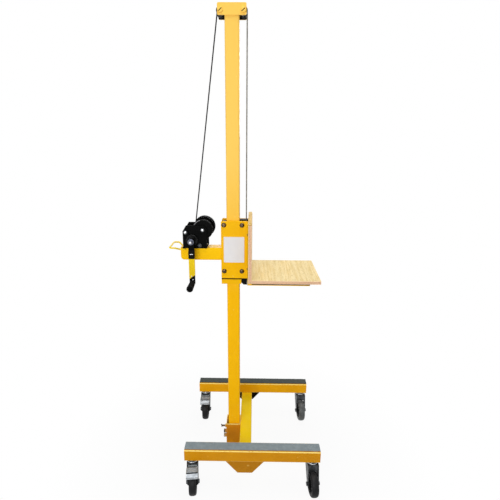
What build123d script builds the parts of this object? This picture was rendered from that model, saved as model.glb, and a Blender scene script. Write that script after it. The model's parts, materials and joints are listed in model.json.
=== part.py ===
from build123d import *
import os
from math import atan2, ceil, cos, degrees, hypot, pi, radians, sin, tan

# Cabinet lift: a castor base, a fixed square mast, and a carriage with a plywood
# shelf and a hand winch. Millimetres, +Z up, +X towards the shelf, floor at Z = 0.
# While it is modelled, the mast's axis is the Z axis. The export moves the whole
# lift so that the middle of its footprint is the origin.

os.makedirs("parts", exist_ok=True)

# General clearances
RUN_FIT = 0.08            # radial, a pin in a turning bore
BOLT_FIT = 0.06           # radial, a fixed bolt in its hole
GAP = 0.3                 # between faces that slide or roll past each other

# Base: two legs, the cross tube under them, its gussets
LEG_LENGTH = 544.5
LEG_WIDTH = 50.8
LEG_HEIGHT = 50.8
LEG_SPACING = 440.0       # between the middles of the legs
LEG_LEFT_REACH = 188.0    # mast axis to the legs' left ends
TUBE_WALL = 3.2
TUBE_CORNER = 4.5
STRIP_WIDTH = 38.1
STRIP_THICK = 4.0
CROSS_SIDE = 50.8
GUSSET_TOP = 170.0
GUSSET_BOTTOM = 60.0
GUSSET_HEIGHT = 65.0
GUSSET_THICK = 5.0
GUSSET_SETBACK = 11.0     # behind the leg's outer face

# Mast and its socket
MAST_SIDE = 50.8
MAST_LENGTH = 1778.0
SOCKET_SIDE = 63.5
SOCKET_LENGTH = 115.0
SOCKET_FLOOR = 5.0
CLAMP_R = 4.0
CLAMP_OUT = 24.0          # clamp screw's shank outside the socket
CLAMP_BAR_R = 2.6
CLAMP_BAR_LENGTH = 34.0
CLAMP_BAR_TILT = 35.0     # degrees
CLAMP_BELOW_TOP = 36.0
SOCKET_BOLT_STEPS = (28.0, 52.0)   # below the clamp screw
NUT_AF = 15.0
NUT_HEIGHT = 7.0

# Mast head: cap plates, sheaves, rope
CAP_WIDTH = 100.0
CAP_HEIGHT = 38.0
CAP_THICK = 4.0
CAP_CORNER = 5.0
CAP_ABOVE_MAST = 17.0
SHEAVE_OFFSET = 39.8      # sheave axis to mast axis
SHEAVE_BELOW_CAP = 22.4
SHEAVE_RIM_R = 13.9
SHEAVE_PITCH_R = 12.0
AXLE_R = 4.75
AXLE_HEAD_R = 9.6
AXLE_HEAD_HEIGHT = 5.5
ROPE_R = 2.4

# Carriage
CARRIAGE_BOTTOM = 849.0   # above the floor, as photographed
CARRIAGE_HEIGHT = 235.0
CARRIAGE_LEFT = 47.0      # mast axis to the plates' left edge
CARRIAGE_RIGHT = 59.0
CARRIAGE_PLATE = 5.0
CARRIAGE_CORNER = 6.0
CARRIAGE_CLEAR = 2.0      # plate to mast face, filled by a pad
CARRIAGE_WEB = 1.8        # sheet that closes the left side above and below the winch arm
ROLLER_R = 9.6
ROLLER_FROM_TOP = 16.0
ROLLER_FROM_BOTTOM = 30.0
ROLLER_END_GAP = 0.5
PAD_WIDTH = 38.0
PAD_HEIGHT = 36.0
BAND_HEIGHT = 25.0
BAND_THICK = 3.0
BAND_RIGHT = 33.0
STOP_RIGHT = 56.0
STOP_DROP = 27.0          # stop block's underside below the plates
STOP_CHAMFER = 9.0
BACK_PLATE = 3.0
LIP_WIDTH = 11.7
ANCHOR_R = 5.0
ANCHOR_HEAD_R = 8.5
ANCHOR_HEAD = 2.0
ANCHOR_BELOW_TOP = 38.0
EYE_R = 8.0               # middle of the rope's eye
FERRULE_R = 4.5
FERRULE_LENGTH = 20.0

# Shelf
SHELF_PLY = 12.7
BACK_PLY = 12.7
SHELF_REACH = 263.0
SHELF_WIDTH = 266.0
SHELF_ARM_REACH = 233.0
SHELF_ARM_WIDTH = 40.0
SHELF_ARM_THICK = 6.0
SHELF_ARM_RISE = 8.5      # arms' underside above the carriage plates' bottom
BACK_BOARD_HEIGHT = 225.5
SCREW_R = 2.0
SCREW_HEAD_R = 4.5
SCREW_HEAD = 2.5
SCREW_INTO_PLY = 10.0

# Winch arm and pull handle
ARM_HEIGHT = 50.8
ARM_REACH = 209.4         # mast axis to the arm's left end
ARM_ABOVE_BOTTOM = 74.2   # arm's underside above the carriage plates' bottom
ARM_MAST_GAP = 2.6
ARM_END_R = 14.0
ARM_CORNER = 5.0
HANDLE_R = 3.2
HANDLE_OUT = 39.6         # beyond the arm's end
HANDLE_WELD = 21.4
HANDLE_WELD_DROP = 6.0    # welded stretch below the arm's top
HANDLE_BEND = 9.0
HANDLE_HALF_WIDTH = 47.0
HANDLE_RISE = 3.5         # loop above the arm's top
HANDLE_FLARE = (2.0, 18.0)   # beyond the arm's end, where the rod starts and stops flaring

# Winch
WINCH_INSET = 9.4         # arm's left end to the base's left edge
WINCH_LENGTH = 98.0
WINCH_PLATE = 3.0
WINCH_HEIGHT = 92.0
WINCH_HALF_GAP = 33.0     # winch middle to a side plate's inner face
WINCH_CHAMFER = 13.0      # upper right corner
WINCH_SLANT = (14.0, 24.0)   # upper left corner
DRUM_INSET = 90.9         # arm's left end to the drum's axis
DRUM_ABOVE_ARM = 74.5
DRUM_BARREL_R = 16.0
DRUM_FLANGE_R = 40.0
DRUM_FLANGE = 3.0
DRUM_HALF_WIDTH = 26.0    # middle to a flange's inner face
DRUM_HUB_R = 12.5
DRUM_SHAFT_R = 5.0
WOUND_R = 30.0            # drum axis to the middle of the outer layer of rope
WOUND_TURNS = 8.5
WOUND_PITCH = 5.25
WOUND_END = 4.0           # last turn's middle to the flange's inner face
GEAR_MODULE = 1.85
GEAR_TEETH = 41
PINION_TEETH = 20
GEAR_WIDTH = 8.0
GEAR_PLATE_GAP = 2.0      # side plate to gear
COVER_WALL = 2.0
COVER_CLEAR = 1.2
COVER_END_GAP = 3.0
PINION_ANGLE = 223.6      # degrees, drum axis to crank axis, anticlockwise from +X
CRANK_SHAFT_R = 7.0
BRAKE_R = 22.0
BRAKE_THICK = 4.0
RATCHET_R = 19.0
RATCHET_TEETH = 15
RATCHET_DEPTH = 2.5
RATCHET_THICK = 5.0
BRAKE_HUB_R = 13.0
BRAKE_HUB = 14.0
CRANK_LENGTH = 168.7
CRANK_WIDTH = 22.5
CRANK_THICK = 6.0
CRANK_EYE_R = 14.0
CRANK_BOSS_R = 12.0
CRANK_BOSS = 8.0
CRANK_STUD_R = 5.0
CRANK_NUT_AF = 15.0
CRANK_NUT = 8.0
GRIP_STUD_R = 5.0
GRIP_LENGTH = 68.0
GRIP_R = 11.0
GRIP_END_R = 13.0
GRIP_CAP_R = 8.0
GRIP_CAP = 3.0
PAWL_INSET = 25.4         # arm's left end to the pawl's pivot
PAWL_ABOVE_ARM = 67.0
PAWL_R = 4.0
PAWL_EYE_R = 8.0
PAWL_TIP = 7.0
TIE_INSET = 79.4          # arm's left end to the lower tie bolt
TIE_ABOVE_ARM = 13.0
TIE_R = 4.0
FRAME_NUT_AF = 14.0
FRAME_NUT = 5.0
MOUNT_BOLT_R = 4.0
MOUNT_BOLT_INSET = 11.0
MOUNT_BOLT_SPREAD = 30.0
MOUNT_BOLT_DEEP = 9.0

# Castors
WHEEL_R = 50.8
TREAD_WIDTH = 30.0
TREAD_ROUND = 8.0
WHEEL_HUB_R = 14.0
WHEEL_RECESS_R = 34.0
WHEEL_RECESS = 6.0
CASTOR_HEIGHT = 145.0     # floor to the leg's underside
CASTOR_TRAIL = 32.0
CASTOR_INSET = 29.0       # leg's end to the castor's swivel axis
STEM_R = 6.0
STEM_FLANGE_R = 20.0
STEM_FLANGE = 5.0
STEM_NUT_AF = 19.0
STEM_NUT = 10.0
STEM_HEAD_R = 10.0
STEM_HEAD = 4.5
CROWN_R = 24.0
CROWN_HEIGHT = 9.7
FORK_INNER = 39.0
FORK_PLATE = 3.0
FORK_EYE_R = 12.0
FORK_FRONT = 20.0
FORK_BACK = 28.0
WHEEL_AXLE_R = 5.0
WHEEL_AXLE_HEAD_R = 8.0
WHEEL_AXLE_HEAD = 4.5
PEDAL_NECK = 36.0         # between the fork plates
PEDAL_WIDTH = 46.0
PEDAL_THICK = 3.0
PEDAL_PIVOT_R = 3.0
PEDAL_PIVOT_BACK = 22.0   # behind the swivel axis
PEDAL_PIVOT_DROP = 25.0   # below the leg's underside
PEDAL_EYE_R = 6.5
PEDAL_REACH = 60.0        # pivot to the pedal's lip
PEDAL_RISE = 9.0
PEDAL_LIP_DROP = 7.0

# Castors: name, side along X, side along Y, rest yaw in degrees, brake
CASTORS = (
    ("front_left", -1, -1, 6.0, True),
    ("front_right", 1, -1, 6.0, False),
    ("rear_left", -1, 1, 2.0, True),
    ("rear_right", 1, 1, 5.0, False),
)

# Places that follow from the sizes
LEG_BOTTOM = CASTOR_HEIGHT
LEG_TOP = LEG_BOTTOM + LEG_HEIGHT
LEG_RIGHT_REACH = LEG_LENGTH - LEG_LEFT_REACH
LEG_OUTER_Y = LEG_SPACING / 2 + LEG_WIDTH / 2
CROSS_HALF = LEG_OUTER_Y - GUSSET_SETBACK - GUSSET_THICK
MAST_HALF = MAST_SIDE / 2
SOCKET_PLAY = SOCKET_SIDE - 2 * TUBE_WALL - MAST_SIDE
SOCKET_X = -SOCKET_PLAY / 2
SOCKET_LEFT = SOCKET_X - SOCKET_SIDE / 2
SOCKET_TOP = LEG_BOTTOM
SOCKET_BASE = SOCKET_TOP - SOCKET_LENGTH
CROSS_X = SOCKET_X + SOCKET_SIDE / 2 + CROSS_SIDE / 2
CLAMP_Z = SOCKET_TOP - CLAMP_BELOW_TOP
MAST_FOOT = SOCKET_BASE + SOCKET_FLOOR
MAST_TOP = MAST_FOOT + MAST_LENGTH
CAP_TOP = MAST_TOP + CAP_ABOVE_MAST
CAP_BACK = MAST_HALF + CAP_THICK
SHEAVE_Z = CAP_TOP - SHEAVE_BELOW_CAP
PLATE_IN = MAST_HALF + CARRIAGE_CLEAR
PLATE_OUT = PLATE_IN + CARRIAGE_PLATE
CARRIAGE_TOP = CARRIAGE_BOTTOM + CARRIAGE_HEIGHT
ROLLER_X = MAST_HALF + GAP + ROLLER_R
ROLLER_TOP_Z = CARRIAGE_TOP - ROLLER_FROM_TOP
ROLLER_LOW_Z = CARRIAGE_BOTTOM + ROLLER_FROM_BOTTOM
BOARD_BACK = CARRIAGE_RIGHT + BACK_PLATE
BOARD_FACE = BOARD_BACK + BACK_PLY
SHELF_ARM_UNDER = CARRIAGE_BOTTOM + SHELF_ARM_RISE
SHELF_UNDER = SHELF_ARM_UNDER + SHELF_ARM_THICK
SHELF_TOP = SHELF_UNDER + SHELF_PLY
BOARD_TOP = SHELF_UNDER + BACK_BOARD_HEIGHT
RIGHT_ROPE_X = SHEAVE_OFFSET + SHEAVE_PITCH_R
ANCHOR_Z = CARRIAGE_TOP - ANCHOR_BELOW_TOP
EYE_Z = ANCHOR_Z + EYE_R - ROPE_R - ANCHOR_R - GAP
FERRULE_TOP = EYE_Z + EYE_R + FERRULE_LENGTH
ARM_BOTTOM = CARRIAGE_BOTTOM + ARM_ABOVE_BOTTOM
ARM_TOP = ARM_BOTTOM + ARM_HEIGHT
WINCH_FLOOR = ARM_TOP + WINCH_PLATE
WINCH_OUT = WINCH_HALF_GAP + WINCH_PLATE
WINCH_LEFT = ARM_REACH - WINCH_INSET
WINCH_RIGHT = WINCH_LEFT - WINCH_LENGTH
DRUM_X = DRUM_INSET - ARM_REACH
PAWL_X = ARM_REACH - PAWL_INSET
TIE_X = ARM_REACH - TIE_INSET
DRUM_Z = ARM_TOP + DRUM_ABOVE_ARM
GEAR_R = GEAR_MODULE * GEAR_TEETH / 2
PINION_R = GEAR_MODULE * PINION_TEETH / 2
CRANK_X = DRUM_X + (GEAR_R + PINION_R) * cos(radians(PINION_ANGLE))
CRANK_Z = DRUM_Z + (GEAR_R + PINION_R) * sin(radians(PINION_ANGLE))
GEAR_Y = WINCH_OUT + GEAR_PLATE_GAP
GEAR_END = GEAR_Y + GEAR_WIDTH
COVER_END = GEAR_END + COVER_END_GAP + COVER_WALL
COVER_R = GEAR_R + GEAR_MODULE + COVER_CLEAR + COVER_WALL
COVER_SMALL_R = PINION_R + GEAR_MODULE + COVER_CLEAR + COVER_WALL
BRAKE_Y = -WINCH_OUT - GAP
RATCHET_Y = BRAKE_Y - BRAKE_THICK
OUTER_DISC_Y = RATCHET_Y - RATCHET_THICK
BRAKE_HUB_Y = OUTER_DISC_Y - BRAKE_THICK
CRANK_Y = BRAKE_HUB_Y - BRAKE_HUB
CRANK_FRONT = CRANK_Y - CRANK_THICK
GRIP_Z = CRANK_Z - CRANK_LENGTH
GRIP_Y = CRANK_FRONT - GAP
GRIP_END_Y = GRIP_Y - GRIP_LENGTH
PAWL_Z = ARM_TOP + PAWL_ABOVE_ARM
HANDLE_Z = ARM_TOP + HANDLE_RISE
CROWN_TOP = CASTOR_HEIGHT - STEM_FLANGE - GAP
CROWN_BOTTOM = CROWN_TOP - CROWN_HEIGHT
PEDAL_Z = CASTOR_HEIGHT - PEDAL_PIVOT_DROP

pieces = {}


def box(x0, x1, y0, y1, z0, z1):
    """A block between two corners."""
    middle = Pos((x0 + x1) / 2, (y0 + y1) / 2, (z0 + z1) / 2)
    return middle * Box(x1 - x0, y1 - y0, z1 - z0)


def slab_x(sketch, x0, x1):
    """A Y-Z outline pulled from x0 to x1."""
    plane = Plane((x0, 0, 0), x_dir=(0, 1, 0), z_dir=(1, 0, 0))
    return extrude(plane * sketch, x1 - x0, dir=(1, 0, 0))


def slab_y(sketch, y0, y1):
    """An X-Z outline pulled from y0 to y1."""
    plane = Plane((0, y1, 0), x_dir=(1, 0, 0), z_dir=(0, -1, 0))
    return extrude(plane * sketch, y1 - y0, dir=(0, -1, 0))


def slab_z(sketch, z0, z1):
    """An X-Y outline pulled from z0 to z1."""
    return extrude(Plane.XY.offset(z0) * sketch, z1 - z0, dir=(0, 0, 1))


def rod_x(x0, x1, y, z, r):
    return slab_x(Pos(y, z) * Circle(r), x0, x1)


def rod_y(x, y0, y1, z, r):
    return slab_y(Pos(x, z) * Circle(r), y0, y1)


def rod_z(x, y, z0, z1, r):
    return slab_z(Pos(x, y) * Circle(r), z0, z1)


def rod_between(start, end, r):
    """A straight round bar from one point to another."""
    run = Vector(*end) - Vector(*start)
    return extrude(Plane(start, z_dir=run) * Circle(r), run.length)


def hexagon(across_flats):
    return RegularPolygon(across_flats / 2, 6, major_radius=False)


def tube_outline(width, height):
    """The rounded section of a square or rectangular tube, with its bore."""
    inner_corner = max(TUBE_CORNER - TUBE_WALL, 1.0)
    bore = RectangleRounded(width - 2 * TUBE_WALL, height - 2 * TUBE_WALL, inner_corner)
    return RectangleRounded(width, height, TUBE_CORNER) - bore


def button_bolt(x, z, y_front, y_back, r, head_r, head, nut_af, nut):
    """A bolt along Y: a domed head in front, a shank, and a nut at the back."""
    dome = rod_y(x, y_front - head, y_front, z, head_r)
    dome = fillet(dome.faces().sort_by(Axis.Y)[0].edges(), head * 0.6)
    shank = rod_y(x, y_front, y_back + nut, z, r)
    return dome + shank + slab_y(Pos(x, z) * hexagon(nut_af), y_back, y_back + nut)


def add(node, *shapes):
    """Keep the solids of one named piece for the export."""
    solids = [solid for shape in shapes for solid in shape.solids()]
    pieces[node] = solids[0] if len(solids) == 1 else Compound(solids)


def castor_place(side_x, side_y):
    """Where a castor's swivel axis meets the floor."""
    x = LEG_RIGHT_REACH - CASTOR_INSET if side_x > 0 else CASTOR_INSET - LEG_LEFT_REACH
    return x, side_y * LEG_SPACING / 2


def leg(side_y):
    """A closed leg tube with holes for its two castor stems."""
    outline = Pos(side_y * LEG_SPACING / 2, LEG_BOTTOM + LEG_HEIGHT / 2)
    left, right = -LEG_LEFT_REACH, LEG_RIGHT_REACH
    bore = RectangleRounded(LEG_WIDTH - 2 * TUBE_WALL, LEG_HEIGHT - 2 * TUBE_WALL, 1.3)
    solid = slab_x(outline * RectangleRounded(LEG_WIDTH, LEG_HEIGHT, TUBE_CORNER), left, right)
    solid -= slab_x(outline * bore, left + TUBE_WALL, right - TUBE_WALL)
    for side_x in (-1, 1):
        x, y = castor_place(side_x, side_y)
        solid -= rod_z(x, y, LEG_BOTTOM - 1, LEG_BOTTOM + TUBE_WALL + 1, STEM_R + BOLT_FIT)
    return solid


def grip_strip(side_y):
    """The rough strip stuck along a leg's top."""
    outline = Pos(0, side_y * LEG_SPACING / 2) * Rectangle(LEG_LENGTH, STRIP_WIDTH)
    middle = Pos(LEG_LENGTH / 2 - LEG_LEFT_REACH, 0)
    return slab_z(middle * outline, LEG_TOP, LEG_TOP + STRIP_THICK)


def gusset(side_y):
    """The trapezoid plate that closes one end of the cross tube."""
    top, bottom = LEG_BOTTOM, LEG_BOTTOM - GUSSET_HEIGHT
    outline = Polygon(
        (CROSS_X - GUSSET_TOP / 2, top),
        (CROSS_X - GUSSET_BOTTOM / 2, bottom),
        (CROSS_X + GUSSET_BOTTOM / 2, bottom),
        (CROSS_X + GUSSET_TOP / 2, top),
        align=None,
    )
    ends = sorted((side_y * CROSS_HALF, side_y * (CROSS_HALF + GUSSET_THICK)))
    return slab_y(outline, *ends)


def build_base():
    add("front_leg", leg(-1))
    add("rear_leg", leg(1))
    add("grip_strips", grip_strip(-1), grip_strip(1))
    cross = slab_y(tube_outline(CROSS_SIDE, CROSS_SIDE), -CROSS_HALF, CROSS_HALF)
    add("cross_tube", Pos(CROSS_X, 0, LEG_BOTTOM - CROSS_SIDE / 2) * cross)
    add("front_gusset", gusset(-1))
    add("rear_gusset", gusset(1))


def socket_screw_heights():
    return [CLAMP_Z] + [CLAMP_Z - step for step in SOCKET_BOLT_STEPS]


def build_socket_and_mast():
    """The socket with its welded nuts, its bolts, the clamp screw and the mast."""
    wall = slab_z(Pos(SOCKET_X, 0) * tube_outline(SOCKET_SIDE, SOCKET_SIDE), SOCKET_BASE, SOCKET_TOP)
    floor_outline = RectangleRounded(SOCKET_SIDE, SOCKET_SIDE, TUBE_CORNER)
    socket = wall + slab_z(Pos(SOCKET_X, 0) * floor_outline, SOCKET_BASE, MAST_FOOT)
    nut_face = SOCKET_LEFT - NUT_HEIGHT
    for z in socket_screw_heights():
        socket += slab_x(Pos(0, z) * hexagon(NUT_AF), nut_face, SOCKET_LEFT)
    for z in socket_screw_heights():
        socket -= rod_x(nut_face - 1, SOCKET_LEFT + TUBE_WALL + 1, 0, z, CLAMP_R + RUN_FIT)
    add("mast_socket", socket)
    tip = -MAST_HALF - GAP
    bolts = []
    for step in SOCKET_BOLT_STEPS:
        shank = rod_x(nut_face, tip, 0, CLAMP_Z - step, CLAMP_R)
        head = slab_x(Pos(0, CLAMP_Z - step) * hexagon(NUT_AF), nut_face - NUT_HEIGHT, nut_face)
        bolts.append(shank + head)
    add("socket_bolts", *bolts)
    outer = SOCKET_LEFT - CLAMP_OUT
    bar = Rot(CLAMP_BAR_TILT, 0, 0) * Cylinder(CLAMP_BAR_R, CLAMP_BAR_LENGTH)
    screw = rod_x(outer, tip, 0, CLAMP_Z, CLAMP_R) + Pos(outer, 0, CLAMP_Z) * bar
    add("clamp_screw", screw)
    add("mast_tube", slab_z(tube_outline(MAST_SIDE, MAST_SIDE), MAST_FOOT, MAST_TOP))


def cap_plate(y0, y1):
    outline = Pos(0, CAP_TOP - CAP_HEIGHT / 2) * RectangleRounded(CAP_WIDTH, CAP_HEIGHT, CAP_CORNER)
    for x in (-SHEAVE_OFFSET, SHEAVE_OFFSET):
        outline -= Pos(x, SHEAVE_Z) * Circle(AXLE_R + BOLT_FIT)
    return slab_y(outline, y0, y1)


def sheave(x):
    """A wide roller sheave with a round rope groove at its middle."""
    half = MAST_HALF - GAP
    groove_r = ROPE_R + GAP
    turned = rod_y(x, -half, half, SHEAVE_Z, SHEAVE_RIM_R)
    turned -= Pos(x, 0, SHEAVE_Z) * Rot(90, 0, 0) * Torus(SHEAVE_PITCH_R, groove_r)
    mouth = Pos(x, SHEAVE_Z) * (Circle(SHEAVE_RIM_R + 1) - Circle(SHEAVE_PITCH_R))
    turned -= slab_y(mouth, -groove_r, groove_r)
    return turned - rod_y(x, -half - 1, half + 1, SHEAVE_Z, AXLE_R + RUN_FIT)


def build_mast_head():
    add("front_cap_plate", cap_plate(-CAP_BACK, -MAST_HALF))
    add("rear_cap_plate", cap_plate(MAST_HALF, CAP_BACK))
    add("left_sheave", sheave(-SHEAVE_OFFSET))
    add("right_sheave", sheave(SHEAVE_OFFSET))
    axles = [
        button_bolt(x, SHEAVE_Z, -CAP_BACK, CAP_BACK, AXLE_R, AXLE_HEAD_R, AXLE_HEAD_HEIGHT, NUT_AF, NUT_HEIGHT)
        for x in (-SHEAVE_OFFSET, SHEAVE_OFFSET)
    ]
    add("sheave_axles", *axles)


def left_run_normal():
    """Unit X-Z direction from both axes to where the left run touches drum and sheave."""
    dx = -SHEAVE_OFFSET - DRUM_X
    dz = SHEAVE_Z - DRUM_Z
    reach = hypot(dx, dz)
    along = (WOUND_R - SHEAVE_PITCH_R) / reach
    across = (1 - along**2) ** 0.5
    ux, uz = dx / reach, dz / reach
    return ux * along - uz * across, uz * along + ux * across


def rope_ends():
    """The left run's lower and upper ends."""
    nx, nz = left_run_normal()
    y = WOUND_END - DRUM_HALF_WIDTH
    low = Vector(DRUM_X + WOUND_R * nx, y, DRUM_Z + WOUND_R * nz)
    high = Vector(-SHEAVE_OFFSET + SHEAVE_PITCH_R * nx, 0, SHEAVE_Z + SHEAVE_PITCH_R * nz)
    return low, high


def on_sheave(x, angle):
    """A point on the rope's line round a sheave."""
    turn = radians(angle)
    return Vector(x + SHEAVE_PITCH_R * cos(turn), 0, SHEAVE_Z + SHEAVE_PITCH_R * sin(turn))


def build_rope():
    """The rope's straight runs, its stretch over the sheaves and its eye."""
    nx, nz = left_run_normal()
    start_angle = degrees(atan2(nz, nx))
    low, high = rope_ends()
    run = (high - low).normalized()
    stub = 2 * ROPE_R
    add("left_rope_run", rod_between(low + run * (stub + GAP), high - run * GAP, ROPE_R))
    first = on_sheave(-SHEAVE_OFFSET, start_angle)
    left_top, right_top = on_sheave(-SHEAVE_OFFSET, 90), on_sheave(SHEAVE_OFFSET, 90)
    last = on_sheave(SHEAVE_OFFSET, 0)
    over = Wire([
        ThreePointArc(first, on_sheave(-SHEAVE_OFFSET, (start_angle + 90) / 2), left_top),
        Line(left_top, right_top),
        ThreePointArc(right_top, on_sheave(SHEAVE_OFFSET, 45), last),
    ])
    add("rope_over_top", sweep(Plane(first, z_dir=(over % 0)) * Circle(ROPE_R), path=over))
    add("right_rope_run", rod_z(RIGHT_ROPE_X, 0, FERRULE_TOP, SHEAVE_Z, ROPE_R))
    eye = Pos(RIGHT_ROPE_X, 0, EYE_Z) * Rot(0, 90, 0) * Torus(EYE_R, ROPE_R)
    add("rope_eye", eye + rod_z(RIGHT_ROPE_X, 0, EYE_Z + EYE_R + ROPE_R / 2, FERRULE_TOP, FERRULE_R))


def roller_bolt_places():
    return [
        ("upper_left_roller", -ROLLER_X, ROLLER_TOP_Z),
        ("upper_right_roller", ROLLER_X, ROLLER_TOP_Z),
        ("lower_left_roller", -ROLLER_X, ROLLER_LOW_Z),
        ("lower_right_roller", ROLLER_X, ROLLER_LOW_Z),
    ]


def carriage_plate(y0, y1):
    middle = Pos((CARRIAGE_RIGHT - CARRIAGE_LEFT) / 2, (CARRIAGE_BOTTOM + CARRIAGE_TOP) / 2)
    outline = middle * RectangleRounded(CARRIAGE_LEFT + CARRIAGE_RIGHT, CARRIAGE_HEIGHT, CARRIAGE_CORNER)
    for _, x, z in roller_bolt_places():
        outline -= Pos(x, z) * Circle(AXLE_R + BOLT_FIT)
    return slab_y(outline, y0, y1)


def build_carriage():
    """Plates, rollers on their bolts, pads, the band below and the rope's anchor stud."""
    add("carriage_front_plate", carriage_plate(-PLATE_OUT, -PLATE_IN))
    rear = carriage_plate(PLATE_IN, PLATE_OUT)
    web_x = (-CARRIAGE_LEFT, CARRIAGE_WEB - CARRIAGE_LEFT)
    for low, high in ((CARRIAGE_BOTTOM, ARM_BOTTOM), (ARM_TOP, CARRIAGE_TOP - CARRIAGE_CORNER)):
        rear += box(*web_x, -PLATE_IN, PLATE_IN + CARRIAGE_PLATE / 2, low, high)
    add("carriage_rear_plate", rear)
    half = PLATE_IN - ROLLER_END_GAP
    bolts = []
    for name, x, z in roller_bolt_places():
        roller = rod_y(x, -half, half, z, ROLLER_R)
        add(name, roller - rod_y(x, -half - 1, half + 1, z, AXLE_R + RUN_FIT))
        sizes = (AXLE_R, AXLE_HEAD_R, AXLE_HEAD_HEIGHT, NUT_AF, NUT_HEIGHT)
        bolts.append(button_bolt(x, z, -PLATE_OUT, PLATE_OUT, *sizes))
    add("roller_bolts", *bolts)
    pads = []
    for z in (ROLLER_TOP_Z, ROLLER_LOW_Z):
        for near, far in ((-PLATE_IN, -MAST_HALF - GAP), (MAST_HALF + GAP, PLATE_IN)):
            pads.append(box(-PAD_WIDTH / 2, PAD_WIDTH / 2, near, far, z - PAD_HEIGHT / 2, z + PAD_HEIGHT / 2))
    stop = Polygon(
        (BAND_RIGHT, CARRIAGE_BOTTOM), (BAND_RIGHT, CARRIAGE_BOTTOM - STOP_DROP + STOP_CHAMFER),
        (BAND_RIGHT + STOP_CHAMFER, CARRIAGE_BOTTOM - STOP_DROP), (STOP_RIGHT, CARRIAGE_BOTTOM - STOP_DROP),
        (STOP_RIGHT, CARRIAGE_BOTTOM), align=None,
    )
    add("guide_pads", *pads, slab_y(stop, -PLATE_OUT, PLATE_OUT))
    band_y = PLATE_IN + BAND_THICK
    band_z = (CARRIAGE_BOTTOM - BAND_HEIGHT, CARRIAGE_BOTTOM)
    band = box(-CARRIAGE_LEFT, BAND_RIGHT, -band_y, band_y, *band_z)
    band -= box(BAND_THICK - CARRIAGE_LEFT, BAND_RIGHT + 1, -PLATE_IN, PLATE_IN, band_z[0] - 1, band_z[1] + 1)
    add("lower_guide_band", band)
    head_x = RIGHT_ROPE_X - ROPE_R - GAP
    stud = rod_x(head_x, CARRIAGE_RIGHT, 0, ANCHOR_Z, ANCHOR_R)
    add("rope_anchor", stud + rod_x(head_x - ANCHOR_HEAD, head_x, 0, ANCHOR_Z, ANCHOR_HEAD_R))


def board_screw_places():
    """Y and Z of the screws through the back plate, and X and Y of those through the arms."""
    y = SHELF_WIDTH / 2 - SHELF_ARM_WIDTH / 2
    heights = (SHELF_TOP + SHELF_ARM_WIDTH, BOARD_TOP - SHELF_ARM_WIDTH)
    reaches = (BOARD_FACE + SHELF_ARM_WIDTH, BOARD_BACK + SHELF_ARM_REACH - SHELF_ARM_WIDTH)
    back = [(side * y, z) for side in (-1, 1) for z in heights]
    under = [(x, side * y) for side in (-1, 1) for x in reaches]
    return back, under


def shelf_arm(side_y):
    edge = side_y * SHELF_WIDTH / 2
    near, far = sorted((edge, edge - side_y * SHELF_ARM_WIDTH))
    return box(BOARD_BACK, BOARD_BACK + SHELF_ARM_REACH, near, far, SHELF_ARM_UNDER, SHELF_UNDER)


def build_shelf():
    """The steel back plate and arms, the two plywood boards and their screws."""
    half = SHELF_WIDTH / 2
    plate = box(CARRIAGE_RIGHT, BOARD_BACK, -half, half, SHELF_ARM_UNDER, BOARD_TOP)
    lip_end = BOARD_BACK + LIP_WIDTH
    plate += box(CARRIAGE_RIGHT, lip_end, -half, half, BOARD_TOP, BOARD_TOP + BACK_PLATE)
    back = box(BOARD_BACK, BOARD_FACE, -half, half, SHELF_UNDER, BOARD_TOP)
    shelf = box(BOARD_FACE, BOARD_FACE + SHELF_REACH, -half, half, SHELF_UNDER, SHELF_TOP)
    arms = {-1: shelf_arm(-1), 1: shelf_arm(1)}
    hole_r = SCREW_R + BOLT_FIT
    screws = []
    back_places, under_places = board_screw_places()
    for y, z in back_places:
        tip = BOARD_BACK + SCREW_INTO_PLY
        hole = rod_x(CARRIAGE_RIGHT - 1, tip + BOLT_FIT, y, z, hole_r)
        plate -= hole
        back -= hole
        head = rod_x(CARRIAGE_RIGHT - SCREW_HEAD, CARRIAGE_RIGHT, y, z, SCREW_HEAD_R)
        screws.append(head + rod_x(CARRIAGE_RIGHT, tip, y, z, SCREW_R))
    for x, y in under_places:
        tip = SHELF_UNDER + SCREW_INTO_PLY
        hole = rod_z(x, y, SHELF_ARM_UNDER - 1, tip + BOLT_FIT, hole_r)
        arms[1 if y > 0 else -1] -= hole
        shelf -= hole
        head = rod_z(x, y, SHELF_ARM_UNDER - SCREW_HEAD, SHELF_ARM_UNDER, SCREW_HEAD_R)
        screws.append(head + rod_z(x, y, SHELF_ARM_UNDER, tip, SCREW_R))
    add("carriage_back_plate", plate)
    add("back_board", back)
    add("shelf_board", shelf)
    add("front_shelf_arm", arms[-1])
    add("rear_shelf_arm", arms[1])
    add("board_screws", *screws)


def bent_rod(corners, radius):
    """A rod's middle line: straight runs with an arc of one radius at every corner."""
    corners = [Vector(*corner) for corner in corners]
    start, runs = corners[0], []
    for before, corner, after in zip(corners, corners[1:], corners[2:]):
        back, ahead = (before - corner).normalized(), (after - corner).normalized()
        half = radians(back.get_angle(ahead)) / 2
        entry, leave = (corner + side * (radius / tan(half)) for side in (back, ahead))
        middle = corner + (back + ahead).normalized() * (radius / sin(half) - radius)
        runs += [Line(start, entry), ThreePointArc(entry, middle, leave)]
        start = leave
    return Wire(runs + [Line(start, corners[-1])])


def arm_side(inset):
    """The winch arm's side outline, with its round lower end, moved in by a wall."""
    left, right = inset - ARM_REACH, -MAST_HALF - ARM_MAST_GAP
    low, high = ARM_BOTTOM + inset, ARM_TOP - inset
    r = ARM_END_R - inset
    outline = Polygon((left, low), (right, low), (right, high), (left, high), align=None)
    corner = outline.vertices().group_by(Axis.Y)[0].sort_by(Axis.X)[0]
    return fillet(corner, r)


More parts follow.
